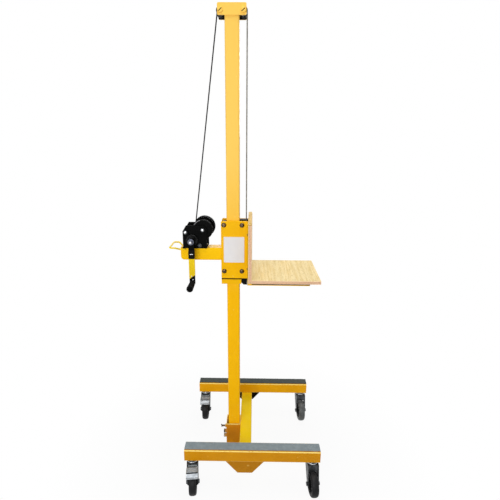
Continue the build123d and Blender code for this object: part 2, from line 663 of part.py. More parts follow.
def winch_bolt_places():
    inset = WINCH_LEFT - MOUNT_BOLT_INSET, WINCH_RIGHT + MOUNT_BOLT_INSET
    return [(-x, side * MOUNT_BOLT_SPREAD / 2) for x in inset for side in (-1, 1)]


def build_winch_arm():
    """The arm between the carriage plates, and the bent rod handle welded to its sides."""
    arm = slab_y(arm_side(0), -PLATE_IN, PLATE_IN)
    arm = fillet(arm.edges().filter_by(Axis.X), ARM_CORNER)
    bore = slab_y(arm_side(TUBE_WALL), TUBE_WALL - PLATE_IN, PLATE_IN - TUBE_WALL)
    mouth = box(-MAST_HALF - ARM_MAST_GAP - TUBE_WALL - 1, 0, TUBE_WALL - PLATE_IN, PLATE_IN - TUBE_WALL,
                ARM_BOTTOM + TUBE_WALL, ARM_TOP - TUBE_WALL)
    arm -= bore + mouth
    for x, y in winch_bolt_places():
        arm -= rod_z(x, y, ARM_TOP - TUBE_WALL - 1, ARM_TOP + 1, MOUNT_BOLT_R + BOLT_FIT)
    add("winch_arm", arm)
    weld_y, weld_z = PLATE_IN + HANDLE_R, ARM_TOP - HANDLE_WELD_DROP
    flare_from, flare_to = (-ARM_REACH - x for x in HANDLE_FLARE)
    near = [(HANDLE_WELD - ARM_REACH, -weld_y, weld_z), (flare_from, -weld_y, weld_z)]
    near += [(x, -HANDLE_HALF_WIDTH, HANDLE_Z) for x in (flare_to, -ARM_REACH - HANDLE_OUT)]
    far = [(x, -y, z) for x, y, z in reversed(near)]
    section = Plane(near[0], z_dir=(-1, 0, 0)) * Circle(HANDLE_R)
    add("pull_handle", sweep(section, path=bent_rod(near + far, HANDLE_BEND)))


def gear_outline(teeth, pitch_r, first_tooth):
    """A toothed outline: straight-sided teeth, slimmer than their gaps, one at first_tooth degrees."""
    step = 360 / teeth
    root, tip = pitch_r - 1.2 * GEAR_MODULE, pitch_r + 0.85 * GEAR_MODULE
    points = []
    for n in range(teeth):
        middle = first_tooth + n * step
        for r, share in ((root, -0.34), (tip, -0.12), (tip, 0.12), (root, 0.34)):
            turn = radians(middle + share * step)
            points.append((r * cos(turn), r * sin(turn)))
    return Polygon(*points, align=None)


def ratchet_outline():
    step = 2 * pi / RATCHET_TEETH
    points = []
    for n in range(RATCHET_TEETH):
        points.append((RATCHET_R * cos(n * step), RATCHET_R * sin(n * step)))
        low = RATCHET_R - RATCHET_DEPTH
        points.append((low * cos((n + 0.9) * step), low * sin((n + 0.9) * step)))
    return Polygon(*points, align=None)


def winch_side():
    """A side plate's outline: upright, with both upper corners cut."""
    left, right = -WINCH_LEFT + WINCH_PLATE, -WINCH_RIGHT
    top = ARM_TOP + WINCH_HEIGHT
    return Polygon(
        (left, ARM_TOP), (right, ARM_TOP), (right, top - WINCH_CHAMFER),
        (right - WINCH_CHAMFER, top), (left + WINCH_SLANT[0], top), (left, top - WINCH_SLANT[1]),
        align=None,
    )


def build_winch_frame():
    """The U frame, its tie bolts, its fixing bolts and the gear cover."""
    frame = box(-WINCH_LEFT, -WINCH_RIGHT, -WINCH_OUT, WINCH_OUT, ARM_TOP, WINCH_FLOOR)
    side = winch_side()
    side -= Pos(CRANK_X, CRANK_Z) * Circle(CRANK_SHAFT_R + RUN_FIT)
    side -= Pos(-PAWL_X, PAWL_Z) * Circle(PAWL_R + BOLT_FIT)
    side -= Pos(-TIE_X, ARM_TOP + TIE_ABOVE_ARM) * Circle(TIE_R + BOLT_FIT)
    near = side - Pos(DRUM_X, DRUM_Z) * Circle(DRUM_SHAFT_R + BOLT_FIT)
    far = side - Pos(DRUM_X, DRUM_Z) * Circle(DRUM_HUB_R + GAP)
    frame += slab_y(near, -WINCH_OUT, -WINCH_HALF_GAP) + slab_y(far, WINCH_HALF_GAP, WINCH_OUT)
    bolts = []
    for x, y in winch_bolt_places():
        frame -= rod_z(x, y, ARM_TOP - 1, WINCH_FLOOR + 1, MOUNT_BOLT_R + BOLT_FIT)
        shank = rod_z(x, y, ARM_TOP - MOUNT_BOLT_DEEP, WINCH_FLOOR, MOUNT_BOLT_R)
        bolts.append(shank + slab_z(Pos(x, y) * hexagon(FRAME_NUT_AF), WINCH_FLOOR, WINCH_FLOOR + FRAME_NUT))
    add("winch_frame", frame)
    add("winch_mount_bolts", *bolts)
    nut = hexagon(FRAME_NUT_AF)
    drum_at, pawl_at = Pos(DRUM_X, DRUM_Z), Pos(-PAWL_X, PAWL_Z)
    tie_at = Pos(-TIE_X, ARM_TOP + TIE_ABOVE_ARM)
    shaft_end = GEAR_END + GAP
    shaft = slab_y(drum_at * Circle(DRUM_SHAFT_R), -WINCH_OUT, shaft_end)
    shaft += slab_y(drum_at * nut, -WINCH_OUT - FRAME_NUT, -WINCH_OUT)
    shaft += slab_y(drum_at * Circle(GRIP_CAP_R), shaft_end, shaft_end + GRIP_CAP - GAP)
    pawl_front = OUTER_DISC_Y - GAP
    pivot = slab_y(pawl_at * Circle(PAWL_R), pawl_front, WINCH_OUT + FRAME_NUT)
    pivot += slab_y(pawl_at * nut, pawl_front - FRAME_NUT, pawl_front)
    pivot += slab_y(pawl_at * nut, WINCH_OUT, WINCH_OUT + FRAME_NUT)
    pivot += slab_y(pawl_at * nut, RATCHET_Y + GAP, -WINCH_OUT)
    tie = slab_y(tie_at * Circle(TIE_R), -WINCH_OUT, WINCH_OUT)
    tie += slab_y(tie_at * nut, -WINCH_OUT - FRAME_NUT, -WINCH_OUT)
    tie += slab_y(tie_at * nut, WINCH_OUT, WINCH_OUT + FRAME_NUT)
    add("winch_frame_bolts", shaft, pivot, tie)
    outer = make_hull((drum_at * Circle(COVER_R) + Pos(CRANK_X, CRANK_Z) * Circle(COVER_SMALL_R)).edges())
    cover = fillet(slab_y(outer, WINCH_OUT, COVER_END).faces().sort_by(Axis.Y)[-1].edges(), 3 * COVER_WALL)
    add("gear_cover", cover - slab_y(offset(outer, -COVER_WALL), WINCH_OUT - 1, COVER_END - COVER_WALL))


def biarc(start, start_dir, end, end_dir):
    """Two arcs from start to end that leave and arrive along the given directions."""
    chord = end - start
    a = 2 * (start_dir.dot(end_dir) - 1)
    b = -2 * chord.dot(start_dir + end_dir)
    c = chord.dot(chord)
    reach = (-b - (b * b - 4 * a * c) ** 0.5) / (2 * a)
    first, second = start + start_dir * reach, end - end_dir * reach
    joint = (first + second) * 0.5
    return [
        TangentArc(start, joint, tangent=start_dir),
        TangentArc(joint, end, tangent=(second - first).normalized()),
    ]


def wound_point(turn, first_angle, first_y):
    """Point and direction on the outer layer, turn counted back from where the rope leaves."""
    angle = first_angle + 2 * pi * turn
    radial = Vector(cos(angle), 0, sin(angle))
    along = Vector(sin(angle), 0, -cos(angle)) * (2 * pi * WOUND_R) + Vector(0, -WOUND_PITCH, 0)
    middle = Vector(DRUM_X, first_y + turn * WOUND_PITCH, DRUM_Z)
    return middle + radial * WOUND_R, along.normalized()


def drum_winding():
    """The outer layer of rope as one tube: straight stub, helix of quarter-turn biarcs, straight stub."""
    low, high = rope_ends()
    nx, nz = left_run_normal()
    first_angle = atan2(nz, nx)
    count = ceil(WOUND_TURNS * 4)
    marks = [wound_point(WOUND_TURNS * (1 - n / count), first_angle, low.Y) for n in range(count + 1)]
    edges = [Line(marks[0][0] - marks[0][1] * (2 * ROPE_R), marks[0][0])]
    for (here, here_dir), (there, there_dir) in zip(marks, marks[1:]):
        edges += biarc(here, here_dir, there, there_dir)
    edges.append(Line(low, low + marks[-1][1] * (2 * ROPE_R)))
    path = Wire(edges)
    start = marks[0][0] - marks[0][1] * (2 * ROPE_R)
    solid = sweep(Plane(start, z_dir=marks[0][1]) * Circle(ROPE_R), path=path)
    print(f"winding: least gap to itself {WOUND_PITCH * cos(atan2(WOUND_PITCH, 2 * pi * WOUND_R)) - 2 * ROPE_R:.2f}")
    print(f"winding: volume over section times length {solid.volume / (pi * ROPE_R**2 * path.length):.4f}")
    return solid


def build_drum():
    """The drum, its gear outside the far plate, and the rope that is wound on it."""
    flange = DRUM_HALF_WIDTH + DRUM_FLANGE
    drum = rod_y(DRUM_X, -flange, flange, DRUM_Z, DRUM_BARREL_R)
    for near, far in ((-flange, -DRUM_HALF_WIDTH), (DRUM_HALF_WIDTH, flange)):
        drum += rod_y(DRUM_X, near, far, DRUM_Z, DRUM_FLANGE_R)
    drum += rod_y(DRUM_X, GAP - WINCH_HALF_GAP, GEAR_Y, DRUM_Z, DRUM_HUB_R)
    bore = rod_y(DRUM_X, -GEAR_END, GEAR_END + 1, DRUM_Z, DRUM_SHAFT_R + RUN_FIT)
    add("winch_drum", drum - bore)
    gear = slab_y(Pos(DRUM_X, DRUM_Z) * gear_outline(GEAR_TEETH, GEAR_R, PINION_ANGLE), GEAR_Y, GEAR_END)
    add("drum_gear", gear - bore)
    core_r = WOUND_R - ROPE_R - GAP
    core = rod_y(DRUM_X, -DRUM_HALF_WIDTH, DRUM_HALF_WIDTH, DRUM_Z, core_r)
    core -= rod_y(DRUM_X, -DRUM_HALF_WIDTH - 1, DRUM_HALF_WIDTH + 1, DRUM_Z, DRUM_BARREL_R + BOLT_FIT)
    add("drum_rope", drum_winding(), core)


def build_crank():
    """The pinion shaft, brake discs with their ratchet, the crank arm, its grip and the pawl."""
    axis = Pos(CRANK_X, CRANK_Z)
    tooth = PINION_ANGLE - 180 + 180 / PINION_TEETH
    boss_end = CRANK_FRONT - CRANK_BOSS
    nut_end = boss_end - CRANK_NUT
    shaft = slab_y(axis * Circle(CRANK_SHAFT_R), CRANK_FRONT, GEAR_END)
    shaft += slab_y(axis * gear_outline(PINION_TEETH, PINION_R, tooth), GEAR_Y, GEAR_END)
    shaft += slab_y(axis * Circle(CRANK_BOSS_R), boss_end, CRANK_FRONT)
    shaft += slab_y(axis * hexagon(CRANK_NUT_AF), nut_end, boss_end)
    shaft += slab_y(axis * Circle(CRANK_STUD_R), nut_end - 2, boss_end)
    add("pinion_shaft", shaft)
    bore = Circle(CRANK_SHAFT_R + BOLT_FIT)
    inner = slab_y(axis * (Circle(BRAKE_R) - bore), RATCHET_Y, BRAKE_Y)
    ratchet = slab_y(axis * (ratchet_outline() - bore), OUTER_DISC_Y, RATCHET_Y)
    outer = slab_y(axis * (Circle(BRAKE_R) - bore), BRAKE_HUB_Y, OUTER_DISC_Y)
    hub = slab_y(axis * (Circle(BRAKE_HUB_R) - bore), CRANK_Y, BRAKE_HUB_Y)
    add("brake_discs", inner, ratchet, outer, hub)
    bar = Pos(CRANK_X, (CRANK_Z + GRIP_Z) / 2) * Rectangle(CRANK_WIDTH, CRANK_LENGTH)
    outline = bar + axis * Circle(CRANK_EYE_R) + Pos(CRANK_X, GRIP_Z) * Circle(CRANK_WIDTH / 2) - axis * bore
    arm = slab_y(outline, CRANK_FRONT, CRANK_Y)
    cap_y = GRIP_END_Y - GAP
    arm += rod_y(CRANK_X, cap_y - GRIP_CAP, CRANK_FRONT, GRIP_Z, GRIP_STUD_R)
    arm += rod_y(CRANK_X, cap_y - GRIP_CAP, cap_y, GRIP_Z, GRIP_CAP_R)
    add("crank_arm", arm)
    grip = Pos(CRANK_X, (GRIP_Y + GRIP_END_Y) / 2, GRIP_Z) * Rot(90, 0, 0) * Cone(GRIP_R, GRIP_END_R, GRIP_LENGTH)
    grip = fillet(grip.edges().filter_by(GeomType.CIRCLE), GRIP_R / 5)
    add("crank_grip", grip - rod_y(CRANK_X, GRIP_END_Y - 1, GRIP_Y + 1, GRIP_Z, GRIP_STUD_R + RUN_FIT))
    to_axis = Vector(CRANK_X + PAWL_X, CRANK_Z - PAWL_Z)
    aim = to_axis.normalized()
    tip = aim * (to_axis.length - RATCHET_R - GAP - PAWL_TIP / 2)
    finger = Circle(PAWL_EYE_R) + Pos(tip.X, tip.Y) * Circle(PAWL_TIP / 2)
    pawl = make_hull(finger.edges()) - Circle(PAWL_R + RUN_FIT)
    add("pawl", slab_y(Pos(-PAWL_X, PAWL_Z) * pawl, OUTER_DISC_Y + GAP, RATCHET_Y - GAP))


def castor_stem(x, y):
    """The fixed part of a castor: king pin with its head, flange, stem and nut."""
    stem = rod_z(x, y, CASTOR_HEIGHT - STEM_FLANGE, CASTOR_HEIGHT, STEM_FLANGE_R)
    nut_z = CASTOR_HEIGHT + TUBE_WALL
    head_top = CROWN_BOTTOM - GAP
    stem += rod_z(x, y, head_top, nut_z + STEM_NUT, STEM_R)
    stem += rod_z(x, y, head_top - STEM_HEAD, head_top, STEM_HEAD_R)
    return stem + slab_z(Pos(x, y) * hexagon(STEM_NUT_AF), nut_z, nut_z + STEM_NUT)


def castor_fork(braked):
    """Crown and two plates, about the swivel axis, trailing towards -Y."""
    half = FORK_INNER / 2 + FORK_PLATE
    fork = rod_z(0, 0, CROWN_BOTTOM, CROWN_TOP, CROWN_R)
    fork += box(-half, half, -FORK_BACK, FORK_FRONT, CROWN_BOTTOM, CROWN_BOTTOM + CROWN_HEIGHT / 2)
    eye = Pos(-CASTOR_TRAIL, WHEEL_R)
    top = CROWN_BOTTOM + CROWN_HEIGHT / 2
    side = Polygon(
        (FORK_FRONT, top), (-FORK_BACK, top), (-CASTOR_TRAIL - FORK_EYE_R, WHEEL_R),
        (-CASTOR_TRAIL + FORK_EYE_R, WHEEL_R), (FORK_FRONT, CROWN_BOTTOM - FORK_EYE_R), align=None,
    )
    side += eye * Circle(FORK_EYE_R)
    side -= eye * Circle(WHEEL_AXLE_R + BOLT_FIT)
    fork += slab_x(side, -half, -half + FORK_PLATE) + slab_x(side, half - FORK_PLATE, half)
    fork -= rod_z(0, 0, CROWN_BOTTOM - 1, CROWN_TOP + 1, STEM_R + RUN_FIT)
    if braked:
        fork += rod_x(-half, half, -PEDAL_PIVOT_BACK, PEDAL_Z, PEDAL_PIVOT_R)
    axle = rod_x(-half - WHEEL_AXLE_HEAD, half + WHEEL_AXLE_HEAD, -CASTOR_TRAIL, WHEEL_R, WHEEL_AXLE_R)
    for start in (-half - WHEEL_AXLE_HEAD, half):
        axle += rod_x(start, start + WHEEL_AXLE_HEAD, -CASTOR_TRAIL, WHEEL_R, WHEEL_AXLE_HEAD_R)
    return fork, axle


def castor_wheel():
    """A rubber-tyred wheel with recessed sides and a hub."""
    half = TREAD_WIDTH / 2
    wheel = rod_x(-half, half, -CASTOR_TRAIL, WHEEL_R, WHEEL_R)
    wheel = fillet(wheel.edges().filter_by(GeomType.CIRCLE), TREAD_ROUND)
    ring = Pos(-CASTOR_TRAIL, WHEEL_R) * (Circle(WHEEL_RECESS_R) - Circle(WHEEL_HUB_R))
    wheel -= slab_x(ring, -half - 1, -half + WHEEL_RECESS)
    wheel -= slab_x(ring, half - WHEEL_RECESS, half + 1)
    hub_half = FORK_INNER / 2 - GAP
    wheel += rod_x(-hub_half, hub_half, -CASTOR_TRAIL, WHEEL_R, WHEEL_HUB_R)
    return wheel - rod_x(-hub_half - 1, hub_half + 1, -CASTOR_TRAIL, WHEEL_R, WHEEL_AXLE_R + RUN_FIT)


def brake_pedal():
    """A bent sheet pedal on its pivot eye, over the trailing side of the wheel."""
    y, z, t = -PEDAL_PIVOT_BACK, PEDAL_Z, PEDAL_THICK
    lip_y, shelf_y = y - PEDAL_REACH, y - PEDAL_REACH + 2 * PEDAL_RISE
    top, lip_z = z + PEDAL_RISE, z - PEDAL_LIP_DROP
    sheet = Polygon(
        (y, z + t), (y - PEDAL_RISE, z + t), (y - 2 * PEDAL_RISE, top), (shelf_y - t, top),
        (shelf_y - PEDAL_RISE - t, lip_z + t), (lip_y, lip_z + t), (lip_y, lip_z),
        (shelf_y - PEDAL_RISE, lip_z), (shelf_y, top - t), (y - 2 * PEDAL_RISE + t, top - t),
        (y - PEDAL_RISE + t, z - t), (y, z - t), align=None,
    )
    eye = Pos(y, z)
    outline = sheet + eye * Circle(PEDAL_EYE_R) - eye * Circle(PEDAL_PIVOT_R + RUN_FIT)
    neck_end = y - 2 * PEDAL_RISE
    solid = slab_x(outline, -PEDAL_WIDTH / 2, PEDAL_WIDTH / 2)
    for side in (-1, 1):
        near, far = sorted((side * PEDAL_NECK / 2, side * PEDAL_WIDTH))
        solid -= box(near, far, neck_end, 0, lip_z - PEDAL_EYE_R, top + PEDAL_EYE_R)
    return solid


def build_castors():
    stems = []
    for name, side_x, side_y, yaw, braked in CASTORS:
        x, y = castor_place(side_x, side_y)
        place = Pos(x, y, 0) * Rot(0, 0, yaw)
        stems.append(castor_stem(x, y))
        add(f"{name}_fork", *(place * solid for solid in castor_fork(braked)))
        add(f"{name}_wheel", place * castor_wheel())
        if braked:
            add(f"{name}_brake_pedal", place * brake_pedal())
    add("castor_stems", *stems)


build_base()
build_socket_and_mast()
build_mast_head()
build_rope()
build_carriage()
build_shelf()
build_winch_arm()
build_winch_frame()
build_drum()
build_crank()
build_castors()

whole = Compound(list(pieces.values())).bounding_box()
origin_shift = Vector(-(whole.min.X + whole.max.X) / 2, -(whole.min.Y + whole.max.Y) / 2, 0)
print(f"origin shift {origin_shift.X:.3f} {origin_shift.Y:.3f}, size {whole.size}")
for node, shape in pieces.items():
    export_step(Pos(*origin_shift) * shape, f"parts/{node}.step")
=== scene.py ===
# %% [markdown]
# # A cabinet lift, dressed in Blender
# A yellow steel hoist on four castors: a carriage with a plywood shelf rides up a square mast, pulled by a wire
# rope from its own hand winch. The solids come from CAD as a fixed frame. This lesson gives them their finish,
# and models what a CAD solid only stands for: rope strands, plies, welds, treads and bolt heads.

# %% Load the frame
import json
from math import asin, atan2, cos, degrees, pi, radians, sin, sqrt

import bpy
from mathutils import Matrix, Vector
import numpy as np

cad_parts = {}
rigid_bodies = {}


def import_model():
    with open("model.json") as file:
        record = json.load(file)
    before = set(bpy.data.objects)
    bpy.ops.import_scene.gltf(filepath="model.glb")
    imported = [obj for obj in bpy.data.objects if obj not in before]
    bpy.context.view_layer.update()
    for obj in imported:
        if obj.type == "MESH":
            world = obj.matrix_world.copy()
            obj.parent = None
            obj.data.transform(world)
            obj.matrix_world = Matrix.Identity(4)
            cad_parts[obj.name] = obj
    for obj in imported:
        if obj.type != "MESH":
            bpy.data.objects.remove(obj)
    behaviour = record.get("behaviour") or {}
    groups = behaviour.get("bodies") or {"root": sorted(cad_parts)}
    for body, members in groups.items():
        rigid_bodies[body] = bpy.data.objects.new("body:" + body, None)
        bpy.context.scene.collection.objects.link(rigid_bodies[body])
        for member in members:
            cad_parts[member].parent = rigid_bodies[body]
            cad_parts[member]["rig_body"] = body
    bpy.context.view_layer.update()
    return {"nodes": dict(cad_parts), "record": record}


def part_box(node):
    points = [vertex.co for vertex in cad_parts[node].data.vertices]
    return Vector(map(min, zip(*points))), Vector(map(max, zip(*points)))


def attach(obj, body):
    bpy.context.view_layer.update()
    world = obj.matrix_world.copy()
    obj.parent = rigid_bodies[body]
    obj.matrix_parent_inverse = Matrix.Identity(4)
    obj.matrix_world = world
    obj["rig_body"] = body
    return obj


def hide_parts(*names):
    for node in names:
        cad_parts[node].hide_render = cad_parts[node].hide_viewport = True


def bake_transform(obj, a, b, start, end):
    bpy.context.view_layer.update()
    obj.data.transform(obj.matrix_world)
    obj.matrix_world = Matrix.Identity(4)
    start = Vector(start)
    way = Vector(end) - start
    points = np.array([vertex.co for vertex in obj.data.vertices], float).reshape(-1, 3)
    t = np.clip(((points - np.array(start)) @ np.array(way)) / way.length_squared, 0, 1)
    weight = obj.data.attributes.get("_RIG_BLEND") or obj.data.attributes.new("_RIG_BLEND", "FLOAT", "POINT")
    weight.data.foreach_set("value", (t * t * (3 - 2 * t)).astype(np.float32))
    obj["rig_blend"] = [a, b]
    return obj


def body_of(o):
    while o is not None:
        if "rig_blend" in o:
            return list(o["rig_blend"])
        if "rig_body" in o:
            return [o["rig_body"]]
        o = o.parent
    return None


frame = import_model()

# %% [markdown]
# ## The camera
# The photograph is taken from the crank side, above the winch, tipped down by sixteen degrees. A camera can be
# placed by eye, but a fit to known corners of the frame gives place, turn and lens at once.

# %% Place the camera
PHOTO_SIDE, FILM_WIDTH, FOCAL_IN_PIXELS = 500, 36, 380.492
CAMERA_PLACE = Vector((0.029762, -1.451203, 1.379446))
PITCH, YAW, ROLL = (radians(a) for a in (15.841, -0.623, 0.404))
ahead = Vector((sin(YAW) * cos(PITCH), cos(YAW) * cos(PITCH), -sin(PITCH)))
level = Vector((cos(YAW), -sin(YAW), 0))
upward = level.cross(ahead)
right = level * cos(ROLL) + upward * sin(ROLL)
top = upward * cos(ROLL) - level * sin(ROLL)


def new_object(name, data):
    thing = bpy.data.objects.new(name, data)
    bpy.context.scene.collection.objects.link(thing)
    return thing


lens = bpy.data.cameras.new("photo_camera")
lens.sensor_width = FILM_WIDTH
lens.lens = FILM_WIDTH * FOCAL_IN_PIXELS / PHOTO_SIDE
lens.clip_start = 0.01
camera = new_object("photo_camera", lens)
camera.matrix_world = Matrix.Translation(CAMERA_PLACE) @ Matrix((right, top, -ahead)).transposed().to_4x4()
bpy.context.scene.camera = camera
print("lens in mm", round(lens.lens, 2))

# %% [markdown]
# ## The studio
# A product picture has a pale floor that runs into a pale background. A bent sheet would do, but a plane is
# simpler: nearly white to the camera, so only a soft shadow is left, and wholly white a little way off, so no
# horizon shows. The world is white to the eye and grey as light. The main lamp stands a little above the winch
# and aims at it, so the light falls off towards the floor.

# %% Helpers for nodes
def plug(tree, value, socket):
    """Feeds a socket from another one, or sets its own value."""
    if isinstance(value, bpy.types.NodeSocket):
        tree.links.new(value, socket)
    else:
        socket.default_value = value


def add(tree, kind, **values):
    """A new shader node with some of its inputs fed."""
    node = tree.nodes.new("ShaderNode" + kind)
    for label, value in values.items():
        plug(tree, value, node.inputs[label.replace("_", " ")])
    return node


def sum_node(tree, operation, first, second):
    node = add(tree, "Math")
    node.operation = operation
    plug(tree, first, node.inputs[0])
    plug(tree, second, node.inputs[1])
    return node.outputs[0]


def ranged(tree, value, low, high, to_low=0.0, to_high=1.0):
    """A value drawn from one range to another, and clamped."""
    node = add(tree, "MapRange", Value=value, From_Min=low, From_Max=high, To_Min=to_low, To_Max=to_high)
    return node.outputs["Result"]


def object_place(tree):
    return add(tree, "TexCoord").outputs["Object"]


def seen_by_eye_or_gloss(tree):
    """A value of 1 for camera, glossy and transmission rays."""
    rays = add(tree, "LightPath").outputs
    seen = sum_node(tree, "MAXIMUM", rays["Is Camera Ray"], rays["Is Glossy Ray"])
    return sum_node(tree, "MAXIMUM", seen, rays["Is Transmission Ray"])


print("node helpers ready")

# %% Build the floor
FLOOR_SIDE, FLOOR_Z, FLOOR_GREY = 12, -0.0005, 0.6
WHITE_SHARE, FADE_FROM, FADE_TO = 0.94, 0.35, 0.85


def leave_nothing_selected():
    if bpy.context.object and bpy.context.object.mode != "OBJECT":
        bpy.ops.object.mode_set(mode="OBJECT")
    bpy.ops.object.select_all(action="DESELECT")


def shape(operator, **settings):
    """One of Blender's own shapes as a new object."""
    leave_nothing_selected()
    operator(**settings)
    return bpy.context.object


def build_floor():
    floor = shape(bpy.ops.mesh.primitive_plane_add, size=FLOOR_SIDE, location=(0, 0, FLOOR_Z))
    floor.name = "studio_floor"
    material = bpy.data.materials.new("studio_floor_white")
    material.use_nodes = True
    tree = material.node_tree
    tree.nodes.clear()
    matt = add(tree, "BsdfDiffuse", Color=(FLOOR_GREY, FLOOR_GREY, FLOOR_GREY, 1))
    away = add(tree, "VectorMath", Vector=object_place(tree))
    away.operation = "LENGTH"
    fade = ranged(tree, away.outputs["Value"], FADE_FROM, FADE_TO, WHITE_SHARE)
    share = sum_node(tree, "MULTIPLY", seen_by_eye_or_gloss(tree), fade)
    mix = add(tree, "MixShader")
    for source, socket in zip((share, matt.outputs[0], add(tree, "Emission").outputs[0]), mix.inputs):
        plug(tree, source, socket)
    add(tree, "OutputMaterial", Surface=mix.outputs[0])
    floor.data.materials.append(material)


build_floor()
print("floor side in metres", FLOOR_SIDE)

# %% Build the world and the lamps
WORLD_LIGHT = 0.36


def build_world():
    world = bpy.data.worlds.new("studio_world")
    bpy.context.scene.world = world
    world.use_nodes = True
    tree = world.node_tree
    backdrop = tree.nodes["Background"].inputs
    backdrop["Color"].default_value = (1, 1, 1, 1)
    plug(tree, ranged(tree, seen_by_eye_or_gloss(tree), 0, 1, WORLD_LIGHT), backdrop["Strength"])


def soft_lamp(name, place, aim, size, watts):
    data = bpy.data.lights.new(name, "AREA")
    data.shape = "RECTANGLE"
    data.size, data.size_y = size
    data.energy = watts
    lamp = new_object(name, data)
    lamp.location = place
    lamp.rotation_euler = (Vector(aim) - Vector(place)).to_track_quat("-Z", "Y").to_euler()


build_world()
soft_lamp("key_lamp", (-0.6, -2.5, 1.45), (0, 0, 1.1), (1.6, 1.4), 40)
soft_lamp("top_lamp", (0.3, -0.15, 3.2), (0.05, 0, 0.6), (1.4, 1.4), 30)
soft_lamp("back_lamp", (0.4, 2.4, 2.0), (0, 0, 0.9), (1.8, 1.2), 20)
bpy.context.scene.view_settings.view_transform = "Standard"
print("studio ready")

# %% [markdown]
# ## Shared surface effects
# Powder coat, zinc, rubber and wood share a few effects: uneven tone, a fine skin, hair scratches, settled dust
# and pale edges, which are rubbed wear and, where turned up, a painted highlight. Each could be drawn anew in
# every material, but a node group is built once.

# %% Helpers for textures
def mapped(tree, stretch, turned=(0, 0, 0)):
    return add(tree, "Mapping", Scale=stretch, Rotation=turned, Vector=object_place(tree)).outputs[0]


def cloud(tree, size, detail=3.0, stretch=(1, 1, 1), turned=(0, 0, 0)):
    """Noise with blotches of a size in metres, given as a number or a socket."""
    scale = 1 / size if isinstance(size, float) else sum_node(tree, "DIVIDE", 1.0, size)
    return add(tree, "TexNoise", Vector=mapped(tree, stretch, turned), Scale=scale, Detail=detail).outputs[0]


def height_of(tree, vector):
    return add(tree, "SeparateXYZ", Vector=vector).outputs["Z"]


def mark_on(tree, label):
    """A number that the mesh carries on its faces."""
    node = add(tree, "Attribute")
    node.attribute_name = label
    return node.outputs["Fac"]


print("texture helpers ready")

# %% Build the node groups
HAIRS = (((1, 1, 26), (0.5, 0.3, 0.2)), ((22, 1, 1), (0.2, 0.9, 0.4)), ((1, 24, 1), (0.3, 0.1, 0.7)))
FLOAT = "NodeSocketFloat"


def uneven_tone(tree, size, spread):
    low, high = sum_node(tree, "SUBTRACT", 0.5, spread), sum_node(tree, "ADD", 0.5, spread)
    return ranged(tree, cloud(tree, size), low, high)


def fine_skin(tree, size):
    fine = cloud(tree, sum_node(tree, "MULTIPLY", size, 0.37), 2.0)
    return sum_node(tree, "ADD", cloud(tree, size, 1.0), sum_node(tree, "MULTIPLY", fine, 0.35))


def hair_scratches(tree, size, share):
    limit = ranged(tree, share, 0, 1, 0.78, 0.55)
    beyond = sum_node(tree, "ADD", limit, 0.06)
    first, second, third = (ranged(tree, cloud(tree, size, 1.0, *hair), limit, beyond) for hair in HAIRS)
    return sum_node(tree, "MAXIMUM", sum_node(tree, "MAXIMUM", first, second), third)


def settled_dust(tree, size, share):
    facing_up = ranged(tree, height_of(tree, add(tree, "NewGeometry").outputs["Normal"]), 0.35, 0.95)
    blotch = ranged(tree, cloud(tree, size, 5.0), 0.35, 0.7)
    return sum_node(tree, "MULTIPLY", sum_node(tree, "MULTIPLY", facing_up, blotch), share)


def edge_wear_and_highlight(tree, size, share):
    limit = ranged(tree, share, 0, 1, 0.75, 0.3)
    patch = ranged(tree, cloud(tree, size, 4.0), limit, sum_node(tree, "ADD", limit, 0.08))
    return sum_node(tree, "MULTIPLY", mark_on(tree, "edge"), patch)


def group_of(recipe, output, **inputs):
    """A recipe laid as a node group, with number inputs and one number output."""
    tree = bpy.data.node_groups.new(recipe.__name__, "ShaderNodeTree")
    for label, value in inputs.items():
        tree.interface.new_socket(label, in_out="INPUT", socket_type=FLOAT).default_value = value
    tree.interface.new_socket(output, in_out="OUTPUT", socket_type=FLOAT)
    given = tree.nodes.new("NodeGroupInput").outputs
    result = recipe(tree, *(given[label] for label in inputs))
    tree.links.new(result, tree.nodes.new("NodeGroupOutput").inputs[0])
    return tree


UNEVEN = group_of(uneven_tone, "Mask", Size=0.05, Spread=0.2)
SKIN = group_of(fine_skin, "Height", Size=0.001)
SCRATCHES = group_of(hair_scratches, "Mask", Size=0.01, Share=0.3)
DUST = group_of(settled_dust, "Mask", Size=0.03, Share=0.3)
EDGE_WEAR_AND_HIGHLIGHT = group_of(edge_wear_and_highlight, "Mask", Size=0.008, Share=0.4)
print("node groups", [g.name for g in bpy.data.node_groups])
